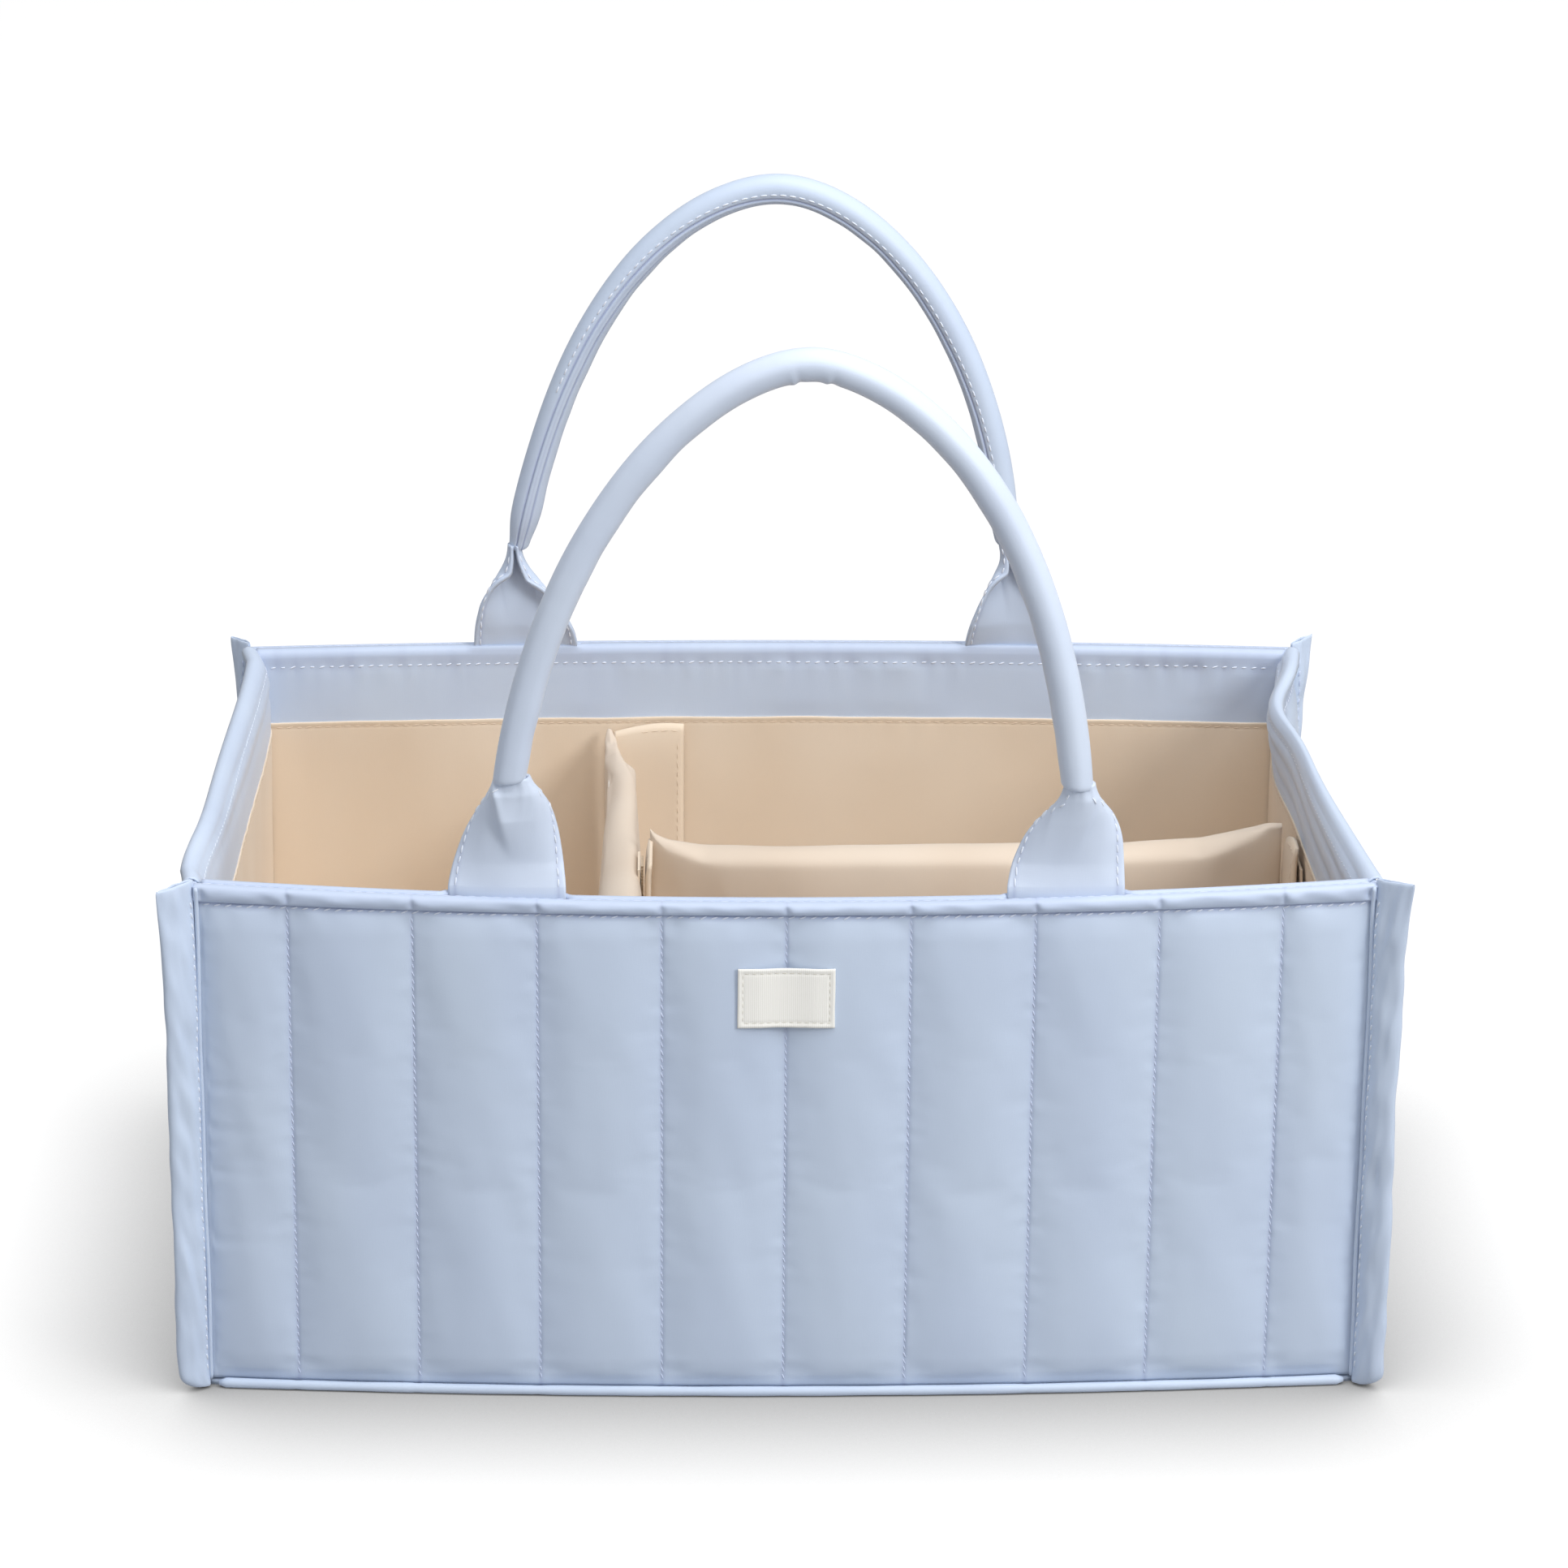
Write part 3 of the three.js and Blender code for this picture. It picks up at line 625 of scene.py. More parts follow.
# Side foam: a sheet of soft white foam behind each side panel, which bends with the wall.
foam_inward = 2.5 * mm
foam_thickness = 1.5 * mm
white_foam = Finish("white_foam", "white_foam")
foam_place = white_foam.on_object()
cells = white_foam.node("ShaderNodeTexVoronoi", None, {"Vector": foam_place, "Scale": 700})
white_foam.shade(
    Base_Color=white_foam.blend(cells, painted(226, 224, 218), painted(246, 245, 240)),
    Roughness=0.95,
    Normal=white_foam.bump(cells, 0.3 * mm, 0.5),
)
for wall in (right_wall, left_wall):
    half = wall.length / 2 - facing_inward
    lengths, z = grid(np.linspace(-half, half, 60), np.linspace(foot, hem_line - 0.5 * mm, 40))
    form = woven(wall.place(lengths, foam_inward, z))
    foam = finished(f"{wall.name}_soft_foam", form, white_foam, "caddy", [f"{wall.name}_foam"])
    thickened(foam, foam_thickness)


# Thread: every row of sewing is a line of small beads of thread, sunk halfway into the cloth. The hem
# is sewn in pale thread all round, and the quilting in a thread nearer to the cotton.
def spun(name, slot, dark, light):
    """A finish for sewing thread, mottled along its twist."""
    finish = Finish(name, slot)
    twist = finish.noise(finish.on_object(), 900)
    finish.shade(Base_Color=finish.blend(twist, dark, light), Roughness=0.5, Sheen_Weight=0.2)
    return finish


pale_thread = spun("pale_thread", blue_slot, painted(214, 223, 240), painted(238, 243, 251))
quilt_thread = spun("quilting_thread", blue_slot, painted(188, 199, 225), painted(212, 222, 241))
bead_form = bmesh.new()
bmesh.ops.create_uvsphere(bead_form, u_segments=6, v_segments=4, radius=1)
thread_bead = bpy.data.meshes.new("thread_bead")
bead_form.to_mesh(thread_bead)
bead_form.free()


def evenly(path, pitch):
    """Points along a line at an even pitch, with the direction of the line at each."""
    gaps = np.linalg.norm(np.diff(path, axis=0), axis=1)
    run = np.concatenate([[0], np.cumsum(gaps)])
    stops = np.arange(pitch / 2, run[-1], pitch)
    points = np.stack([np.interp(stops, run, path[:, axis]) for axis in range(3)], -1)
    ahead = np.stack([np.interp(stops + pitch / 10, run, path[:, axis]) for axis in range(3)], -1)
    return points, ahead - points


def surface_of(piece):
    return BVHTree.FromObject(piece, bpy.context.evaluated_depsgraph_get())


def stitch(form, surface, point, outward, ahead, length, thickness, slant=0):
    """Lays one bead of thread on the cloth, dropped onto it from outside."""
    outward = Vector(outward)
    reach = 12 * mm
    place, out, _, _ = surface.ray_cast(Vector(point) + outward * reach, -outward, 2 * reach)
    if place is None:
        return
    along = Vector(ahead)
    along = (along - out * along.dot(out)).normalized()
    axes = Matrix((out.cross(along), out, along)).transposed().to_4x4()
    size = Matrix.Diagonal((thickness, thickness, length / 2, 1))
    placed = Matrix.Translation(place) @ axes @ Matrix.Rotation(slant, 4, "Y") @ size
    thread_bead.transform(placed)
    form.from_mesh(thread_bead)
    thread_bead.transform(placed.inverted())


def sew(form, surface, path, outward, pitch, length, thickness, slant=0):
    for point, ahead in zip(*evenly(path, pitch)):
        uneven = noise.noise(Vector(point) / (3 * mm))
        uneven = 0.3 * uneven
        stitch(form, surface, point, outward, ahead, length * (1 + uneven), thickness, slant + uneven)


def line_on(wall, along, inward, z):
    """A line on a wall. One of its three places may be a pair, which it then runs between."""
    ends = [np.linspace(*value, 200) if isinstance(value, tuple) else value for value in (along, inward, z)]
    return wall.place(*ends)


hem_pitch = 3.5 * mm
crest_pitch = 4 * mm
for wall in walls:
    surface = surface_of(panels[wall.name])
    outward = wall.turn @ (0, -1, 0)
    inner = wall.length / 2 - seam_margin
    form = bmesh.new()
    hem_row = line_on(wall, (-inner, inner), 0, hem_line - 0.7 * mm)
    sew(form, surface, hem_row, outward, hem_pitch, 2.4 * mm, 0.27 * mm, 0.3)
    finished(f"{wall.name}_hem_stitching", form, pale_thread, "caddy")
    form = bmesh.new()
    if wall.long:
        crest = line_on(wall, (-inner, inner), groove_inward - 1.3 * mm, box_height)
        sew(form, surface, crest, (0, 0, 1), crest_pitch, 3 * mm, 0.2 * mm)
    for seam in channel_seams(wall.length)[1:-1]:
        line = line_on(wall, seam, 0, (foot + 3 * mm, hem_line - 1 * mm))
        sew(form, surface, line, outward, stitch_pitch, 2.1 * mm, 0.27 * mm, 0.3)
    finished(f"{wall.name}_quilting", form, quilt_thread, "caddy")

# Facings: a strip of the same cotton inside each rim, rolled over its crest against the groove and
# hanging free below the hem stitching. The side rims are limp: theirs slants inward from the crest as
# one flat band, creased into long pleats that start at the back corner.
facing_foot = 141 * mm
facing_height = 34 * mm
facing_columns = 260
facing_thickness = 0.6 * mm
facing_pleats = {
    "right": [(5.4, 0.012, -0.6, 0.9), (9, 0.03, -0.9, 1.3), (14, 0.05, -1, 1.7), (21, 0.075, -1, 2)],
    "left": [(6, -0.006, -0.4, 1.5), (12, -0.02, -0.6, 2.2), (20, -0.03, -0.6, 3)],
}
side_row = box_height - 4.4 * mm
facing_rows = {"front": hem_line, "right": side_row, "back": box_height - 6.2 * mm, "left": side_row}
facing_roll = 7 * mm
facing_slack = {True: 1.1 * mm, False: 0.4 * mm}
side_gather_share = 0.2
side_sink_share = 0.4
lining_top = 148 * mm
tab_spread = 88.5 * mm
tab_half_width = 18.8 * mm
tab_thickness = 1.5 * mm


def facing_section(opened, wrapped):
    """The facing in section, from the groove, or from outside the rim, over the crest and down inside."""
    start = groove_inward + 0.3 * mm + opened * (tab_thickness + 0.4 * mm)
    middle = (start + facing_inward) / 2
    fall = box_height - 3 * mm
    roll = [
        (-2.6 * mm, box_height - 1.4 * mm),
        (-2 * mm, box_height + 0.1 * mm),
        (-0.8 * mm, box_height + 0.7 * mm),
        (0.6 * mm, box_height + 0.5 * mm),
        (2 * mm, box_height - 0.6 * mm),
        (2.9 * mm, box_height - 2 * mm),
    ] if wrapped else [
        (start, fall),
        (start, box_height - 1 * mm),
        (start + 0.4 * mm, box_height - 0.1 * mm),
        (middle, box_height - 0.4 * mm),
        (facing_inward - 0.3 * mm, box_height - 1.3 * mm),
        (facing_inward, box_height - 2.5 * mm),
    ]
    down = np.linspace(fall, facing_foot, 24)
    slant = (facing_inward - 3.2 * mm) * np.exp(-(fall - down) / (2.6 * mm)) * wrapped
    return np.array(roll + [(facing_inward - lean, z) for lean, z in zip(slant, down)])


facings = {}
for number, wall in enumerate(walls):
    half = wall.length / 2 - groove_inward - 0.7 * mm
    along = np.linspace(-half, half, facing_columns)
    by_tab = (np.abs(np.abs(along) - tab_spread) < tab_half_width + 1 * mm) * wall.long * 1.0
    section = np.array([facing_section(share, not wall.long) for share in by_tab])
    lengths = np.broadcast_to(along[:, None], section.shape[:2])
    z = section[..., 1]
    below = capped((box_height - z) / (4 * mm) - 1)
    shown = capped((z - lining_top) / (6 * mm))
    ends = capped((half - np.abs(lengths)) / (12 * mm))
    wave = facing_slack[wall.long] * ripples(lengths, z, 34 * mm, 7.3 * number)
    row = facing_rows[wall.name]
    near_hem = np.exp(-np.abs(z - row) / (5 * mm)) * (1 - by_tab[:, None])
    gathers = 1 * mm * ripples(lengths, z * 0.3, 4.5 * mm, 3.1 * number) * near_hem
    sunk = hump((z - row) / (0.9 * mm)) * below
    if not wall.long:
        gathers = gathers * side_gather_share
        sunk = sunk * side_sink_share
    inward = section[..., 0] + (wave + gathers) * below * ends * shown - 0.3 * mm * sunk
    arc = np.cumsum(np.linalg.norm(np.diff(section[0], axis=0, prepend=section[0, :1]), axis=1)) / mm
    tangent = np.gradient(section[0], axis=0)
    tangent /= np.linalg.norm(tangent, axis=1)[:, None]
    from_back = (half + lengths * (1 if wall is left_wall else -1)) / mm
    for start, slope, height, width in facing_pleats.get(wall.name, ()):
        drift = 1.4 * ripples(lengths, lengths * 0, 46 * mm, start)
        across = (arc - start - slope * from_back - drift) / width
        pleat = height * mm * hump(across) * capped(1.3 - np.abs(across) * 0.1) * ends * shown
        inward = inward - tangent[:, 1] * pleat
        z = z + tangent[:, 0] * pleat
    # Painted shade on the facing: along the sewn row, over the crest of the long walls, and in the valleys
    # of the gathers.
    shade = np.maximum(sunk * 0.45, 0.3 * (1 - below) * wall.long) + 0.3 * capped(-gathers / (0.5 * mm))
    form = woven(wall.place(lengths, inward, z)[:, ::-1], shade[:, ::-1])
    name = f"{wall.name}_facing"
    facing = finished(f"{wall.name}_rim_facing", form, blue_cotton, "caddy", [name])
    thickened(facing, facing_thickness)
    facings[wall.name] = facing
    facing_flat = (2 * half, facing_height + facing_roll)
    form = bmesh.new()
    inside = wall.turn @ (0, 1, 0)
    line = line_on(wall, (-half + 6 * mm, half - 6 * mm), facing_inward, row)
    sew(form, surface_of(facing), line, inside, hem_pitch, 2 * mm, (0.28 if wall.long else 0.14) * mm, 0.2)
    finished(f"{wall.name}_facing_stitching", form, pale_thread, "caddy")

# Base: a cloth bottom, and a round piped seam that joins it to each wall between the corners.
base_thickness = 1.5 * mm
piping_radius = 1.6 * mm
flange_root = 3.5 * mm
base_columns = 40


def base_outline(share_along, share_across):
    x = share_along * box_length / 2
    return x, share_across * (box_depth / 2 + bowed(x, 0))


base_shares = np.linspace(-1, 1, base_columns)
share_along, share_across = grid(base_shares, base_shares)
x, y = base_outline(share_along, share_across)
form = woven(np.stack([x, y, np.full_like(x, base_thickness)], -1))
base_cover = finished("base_cloth", form, blue_cotton, "caddy", ["base_cover"])
thickened(base_cover, base_thickness)


def tube(path, radii, sides, up):
    """A round tube along a path, closed at its ends, with a radius at each step."""
    ahead = np.gradient(path, axis=0)
    ahead /= np.linalg.norm(ahead, axis=1)[:, None]
    across = np.cross(ahead, up)
    across /= np.linalg.norm(across, axis=1)[:, None]
    rise = np.cross(across, ahead)
    turn = np.linspace(0, 2 * half_turn, sides + 1)
    ring = np.cos(turn)[None, :, None] * across[:, None] + np.sin(turn)[None, :, None] * rise[:, None]
    points = path[:, None] + ring * np.asarray(radii)[:, None, None]
    form = woven(points, round_up=True)
    close_ends(form)
    return form


for wall in walls:
    half = wall.length / 2 - flange_root - 0.3 * mm
    along = np.linspace(-half, half, 160)
    path = wall.place(along, -piping_radius - 0.3 * mm, np.full_like(along, piping_radius + 0.1 * mm))
    radii = piping_radius * (1 + 0.05 * np.sin(along / (6 * mm)) * np.sin(along / (17 * mm)))
    for seam in channel_seams(wall.length)[1:-1]:
        radii = radii - 0.28 * mm * hump((along - seam) / (0.9 * mm))
    radii[[0, -1]] *= 0.5
    form = tube(path, radii, 16, (0, 0, 1))
    finished(f"{wall.name}_piped_seam", form, blue_cotton, "caddy", [f"{wall.name}_base_piping"])

# Corner flanges: the cloth of both walls pinched together at each corner into a padded fin, sewn
# through at its root, with a turned edge on each side of it and a nearly shut mouth at the rim.
flange_length = 13.6 * mm
flange_half_thickness = 2.5 * mm
fin_heights = [0, 0.3, 0.6, 0.86, 0.93, 1]
flange_over_rim = 2 * mm
fin_rows = 90
fin_stitch_out = 1.9 * mm
edge_radius = 0.75 * mm


def fin_section(size, squeeze):
    """The fin in section from one root edge round its tip to the other: out from the corner, aside."""
    t = np.linspace(-1, 1, 45)
    share = np.cos(t * half_turn / 2) ** 0.8
    plump = np.sqrt(capped(1 - share**5)) * capped(share / 0.3) ** 0.7
    swell = plump * flange_half_thickness * squeeze
    return flange_length * size * share - 0.5 * mm, np.sign(t) * (0.5 * mm * (1 - share**3) + swell)


corners = [
    ("front_right", 1, -1, (0.9, 0.93, 0.88, 0.9, 1, 1.1), -1.6 * mm),
    ("back_right", 1, 1, (0.5, 0.4, 0.4, 0.5, 0.7, 0.86), -1.4 * mm),
    ("back_left", -1, 1, (0.5, 0.4, 0.4, 0.46, 0.7, 0.82), 0.6 * mm),
    ("front_left", -1, -1, (0.88, 0.94, 0.96, 0.98, 1.02, 1.08), 1 * mm),
]
for number, (name, right, back, fin_sizes, mouth_drop) in enumerate(corners):
    outward = np.array([right, back, 0]) / math.sqrt(2)
    aside = np.cross((0, 0, 1), outward)
    corner = np.array([right * box_length / 2, back * box_depth / 2, 0])
    points = []
    for row in np.linspace(0, 1, fin_rows):
        z = foot / 2 + (box_height + flange_over_rim - foot / 2) * row
        size = np.interp(row, fin_heights, fin_sizes)
        size += 0.045 * noise.noise(Vector((z / (13 * mm), number * 2.3, 5)))
        size *= 1 - 0.45 * capped(1 - row / 0.03) ** 2
        shut = capped((row - 0.9) / 0.1)
        squeeze = (1 - 0.75 * shut) * (1 + 0.2 * noise.noise(Vector((z / (17 * mm), number * 3.1, 0))))
        out, side = fin_section(size, squeeze)
        share = capped(out / flange_length)
        bend = 1.9 * mm * noise.noise(Vector((z / (38 * mm), number * 5.7, 2))) * share
        crease = []
        for far, off in zip(out, side):
            slanted = (z - far * 1.6) / (11 * mm)
            crease.append(noise.noise(Vector((slanted, far / (4 * mm), number + math.copysign(9, off)))))
        side = side + 0.9 * mm * np.array(crease) * np.sin(share * half_turn) ** 0.7 + bend
        drop = mouth_drop * share**1.3 * shut
        raised = np.outer(z - drop, (0, 0, 1))
        points.append(corner + outward * out[:, None] + aside * side[:, None] + raised)
    form = woven(np.array(points).transpose(1, 0, 2))
    flange = finished(f"{name}_pinched_corner", form, blue_cotton, "caddy", [f"{name}_corner_flange"])
    thickened(flange, 0.7 * mm)
    rounded(flange)
    surface = surface_of(flange)
    form = bmesh.new()
    for way in (-1, 1):
        root = corner + outward * fin_stitch_out
        line = np.linspace(root + (0, 0, 6 * mm), root + (0, 0, box_height - 3 * mm), 60)
        sew(form, surface, line, aside * way, hem_pitch, 2.4 * mm, 0.38 * mm, 0.28 * way)
    thread = pale_thread if back < 0 else quilt_thread
    finished(f"{name}_corner_stitching", form, thread, "caddy")

for wall in walls:
    for end in (-1, 1):
        z = np.linspace(2.6 * mm, box_height - 1 * mm, 120)
        sway = 0.25 * mm * np.sin(z / (13 * mm) + end) * np.sin(z / (31 * mm))
        along = end * (wall.length / 2 - 1.1 * mm) + sway
        near_rim = capped((z - hem_line) / hem_depth)
        path = wall.place(along, -0.9 * mm - 1.2 * mm * near_rim, z)
        radii = edge_radius * np.where((z < 4 * mm) | (z > box_height - 2 * mm), 0.7, 1)
        form = tube(path, radii, 10, wall.turn @ (1, 0, 0))
        side = "left" if end < 0 else "right"
        finished(f"{wall.name}_wall_{side}_turned_edge", form, blue_cotton, "caddy")

# Grips: a strip of the cotton rolled round a soft core and sewn down on the side towards the box,
# where its edges meet as a flat ridge between two lines, with a row of stitches beside it.
handle_hinge = 184.914 * mm
hinge_reach = 122.727 * mm
tab_height = 36 * mm
grip_radius = 5.4 * mm
grip_lean = 3.2 * mm
grip_steps = 260
end_slant = 0.3
core_inset = 14
core_radius = 4 * mm
ridge_half_width = 1.3 * mm
ridge_height = 0.35 * mm
stitch_row_arc = 3.4 * mm
ring_arcs = np.array([0, 0.6, 1, 1.25, 1.45, 1.65, 1.9, 2.3, 3, 4.2, 5.6, 7.2, 9, 11, 13, 15]) * mm
seam_turns = [math.radians(turn) for turn in (92, 104, 138, 146, 134)]


def arch_path(handle):
    """The middle line of a grip, from its left foot over the top to its right foot, evenly stepped."""
    y = handle["side"] * hinge_reach
    upper = y + handle["side"] * grip_lean
    crown = (handle["lean"], upper, handle["top"])
    halves = []
    for sign in (-1, 1):
        foot_shift, foot_rise, pull_in, pull_up, shoulder = np.array(handle["halves"][sign]) * mm
        x, z = sign * tab_spread + foot_shift, box_height + tab_height + foot_rise
        above_foot = (x - sign * pull_in, upper, z + pull_up)
        ends = [(x, y, z), above_foot, (crown[0] + sign * shoulder, upper, crown[2]), crown]
        halves.append(bezier(ends, np.linspace(0, 1, 400)))
    whole = np.vstack([halves[0], halves[1][-2::-1]])
    run = np.concatenate([[0], np.cumsum(np.linalg.norm(np.diff(whole, axis=0), axis=1))])
    stops = np.linspace(0, run[-1], grip_steps + 1)
    return np.stack([np.interp(stops, run, whole[:, axis]) for axis in range(3)], -1), stops


# Each half runs from its foot, moved and raised, by a pull in and up, to a shoulder beside the crown.
handles = [
    {
        "name": "front",
        "side": -1,
        "wall": front_wall,
        # The front strip wears the lighter copy of the cotton, painted light.
        "cloth": lit_blue_cotton,
        "lean": 6.6 * mm,
        "top": 346.7 * mm,
        "halves": {-1: (1, -0.8, 13.4, 92.1, 28.9), 1: (2.8, -3, 10.3, 112, 17.9)},
        "pinches": (-5.5 * mm, 6.5 * mm),
        "taper": 0.03,
        "row_from": 6,
    },
    {
        "name": "back",
        "side": 1,
        "wall": back_wall,
        "cloth": blue_cotton,
        "lean": 0.7 * mm,
        "top": 342.4 * mm,
        "halves": {-1: (-2.4, 0.3, 21.8, 115.5, 17.3), 1: (-5, 2, 3.6, 79.4, 33.5)},
        "pinches": (),
        "taper": 0.34,
        "row_from": 46,
    },
]
for handle in handles:
    name, side = handle["name"], handle["side"]
    path, run = arch_path(handle)
    ahead = np.gradient(path, axis=0)
    ahead /= np.linalg.norm(ahead, axis=1)[:, None]
    out = np.stack([-ahead[:, 2], np.zeros(len(path)), ahead[:, 0]], -1)
    inward = np.array([0, -side, 0])
    middle = run[-1] / 2
    seam_turn = np.interp(run / run[-1], np.linspace(0, 1, len(seam_turns)), seam_turns)
    arcs = np.concatenate([ring_arcs, 2 * half_turn * grip_radius - ring_arcs[::-1]])
    from_ridge = np.minimum(arcs, arcs[::-1])
    ridge = ridge_height * np.exp(-((from_ridge / ridge_half_width) ** 8))
    groove = 0.4 * mm * hump((from_ridge - 1.6 * mm) / (0.3 * mm))
    split = 0.12 * mm * hump(from_ridge / (0.3 * mm))
    # Painted shade in the grooves beside the ridge and in the split along its middle.
    painted_shade = hump((from_ridge - 1.6 * mm) / (0.35 * mm)) + 0.3 * hump(from_ridge / (0.3 * mm))
    points = np.empty((len(path), len(arcs), 3))
    for step, (place, turn_here, at) in enumerate(zip(path, seam_turn, run)):
        to_end = min(at, run[-1] - at)
        radius = grip_radius * (1 + 0.03 * noise.noise(Vector((at / (30 * mm), side, 0))))
        lip = math.sqrt(max(0, 1 - (1 - min(1, to_end / (1.3 * mm))) ** 2))
        radius *= (0.84 + 0.16 * lip) * (1 - handle["taper"] * math.exp(-((to_end / (8 * mm)) ** 2)))
        slanted = end_slant * max(0, 1 - to_end / (9 * mm)) ** 2 * math.copysign(1, at - middle)
        angle = turn_here + arcs / grip_radius
        underside = capped(-np.cos(angle)) ** 1.2
        outer = capped(-np.sin(angle))
        fold = sum(
            1.1 * mm * math.exp(-(((at - middle - spot) / (0.9 * mm)) ** 2))
            - 0.9 * mm * math.exp(-(((at - middle - spot - 2 * mm) / (1.2 * mm)) ** 2))
            for spot in handle["pinches"]
        )
        crumple = 0.25 * mm * noise.noise(Vector((at / (11 * mm), 4, side)))
        rings = radius + ridge - groove - split + (fold * (0.4 + 0.6 * outer) + crumple) * underside
        ring = np.cos(angle)[:, None] * out[step] + np.sin(angle)[:, None] * inward
        points[step] = place + rings[:, None] * (ring + slanted * np.cos(angle)[:, None] * ahead[step])
    form = woven(points, np.broadcast_to(capped(painted_shade), points.shape[:2]), round_up=True)
    close_ends(form)
    body = f"{name}_handle"
    cover = finished(f"{name}_grip_cloth", form, handle["cloth"], body, [f"{name}_handle_cover"])
    rounded(cover)
    inner = path[core_inset:-core_inset]
    form = tube(inner, np.full(len(inner), core_radius), 16, (0, 1, 0))
    core = finished(f"{name}_grip_core", form, white_foam, body, [f"{name}_handle_core"])
    surface = surface_of(cover)
    form = bmesh.new()
    beside = seam_turn - stitch_row_arc / grip_radius
    away = np.cos(beside)[:, None] * out + np.sin(beside)[:, None] * inward
    rows, ways = evenly(path[handle["row_from"] : -6], hem_pitch)
    for point, way in zip(rows, ways):
        step = np.argmin(np.linalg.norm(path - point, axis=1))
        stitch(form, surface, point + away[step] * grip_radius, away[step], way, 2.6 * mm, 0.32 * mm)
    finished(f"{name}_grip_stitching", form, pale_thread, body)

# Handle tabs: the flat ends of the same strip. Each is sewn inside the rim, and curls up with its
# edges towards the box until it enters the grip. Its edges are turned under and topstitched.
curls = np.linspace(0.02, 2.75, 120)
curled_widths = np.where(curls < half_turn / 2, np.sin(curls), 1) / curls
curl_flatness = 0.55
neck_forward = 3 * mm
tab_columns = 48
tab_margin = 2.3 * mm
tab_rows = np.concatenate([np.linspace(-7, 0, 4)[:-1], np.linspace(0, 38, 56)]) * mm
tab_rises = [0, 8, 18, 25, 31, 35, 38]
tab_smoothing = (-3, -2, -1, 0, 1, 2, 3)
tab_edges = {
    ("front", -1): ([18.8, 16.9, 13.4, 9.4, 6, 4.6, 3.4], [18.8, 18, 16.6, 14.8, 12, 9.4, 7.2]),
    ("front", 1): ([18.8, 17, 12.9, 7.4, 3.2, 1.6, 1.2], [18.8, 18.5, 17.9, 15.4, 11, 9, 8.4]),
    ("back", -1): ([18.8, 18.3, 16, 11.4, 7.4, 6.4, 6.2], [18.8, 17.2, 11.4, 5.2, 0.2, -1.2, -1.4]),
    ("back", 1): ([18.8, 17.4, 13.6, 9.4, 6, 7.2, 7.6], [18.8, 17, 12, 6.4, 1, -1.8, -2.4]),
}
tab_folds = {
    ("front", -1): [(-0.5, 0.25, 4 * mm, 1), (0.5, 0.5, 0.9 * mm, -1)],
    ("front", 1): [(0.35, 0.1, 1.3 * mm, -1), (-0.6, -0.4, 0.8 * mm, 1)],
    ("back", -1): [(0.35, 0.1, 1.8 * mm, 1), (-0.5, -0.3, 1 * mm, -1)],
    ("back", 1): [(-0.35, -0.1, 1.8 * mm, -1), (0.5, 0.3, 1 * mm, 1)],
}


def tab_points(handle, sign):
    """The tab as a grid, from its left edge to its right and from its root in the rim to the neck.

    A fold runs from a place across the neck to a place lower down. It stands up on one side of its line.
    """
    share, height = grid(np.linspace(-1, 1, tab_columns + 1), tab_rows)
    rise = np.clip(height, 0, None)
    neck_share = capped(rise / tab_height)
    left, right = [
        np.mean([np.interp(rise / mm + near, tab_rises, edge) for near in tab_smoothing], axis=0) * mm
        for edge in tab_edges[handle["name"], sign]
    ]
    middle = (right - left) / 2 * neck_share
    reach = np.where(share < 0, left + middle, right - middle)
    curl = np.interp(-reach / tab_half_width, -curled_widths, curls)
    across = middle + np.sin(share * curl) / np.sin(np.minimum(curl, half_turn / 2)) * reach
    depth = tab_half_width / curl * (1 - np.cos(share * curl)) * curl_flatness
    fold = 0
    for at_neck, below, deep, way in tab_folds[handle["name"], sign]:
        past = (share - below - (at_neck - below) * neck_share) * way
        steep = 1 / (1 + np.exp(-past / 0.035))
        fade = np.exp(-np.clip(past, 0, None) / 0.3)
        strength = capped((neck_share - 0.25) / 0.4) ** 1.5 * (1 - capped((neck_share - 0.9) / 0.1))
        fold = fold + deep * strength * steep * fade
    limp = 0.7 * mm * ripples(share * tab_half_width, height, 10 * mm, sign + handle["side"] * 3)
    pucker = 0.5 * mm * ripples(share * tab_half_width, height * 0.4, 2.4 * mm, sign * 5) * neck_share**6
    away = neck_forward * neck_share**2 - depth + fold + (limp + pucker) * capped(rise / (6 * mm))
    x = sign * tab_spread + across
    straight = capped(rise / (8 * mm))
    side = handle["side"]
    inward = groove_inward + 0.3 * mm
    in_rim = handle["wall"].place(-side * x, inward, np.full_like(x, box_height))[..., 1]
    y = in_rim * (1 - straight) + side * hinge_reach * straight + side * away
    stretch = 1 + handle["halves"][sign][1] * mm / tab_height
    return np.stack([x, y, box_height + np.where(height > 0, height * stretch, height)], -1)


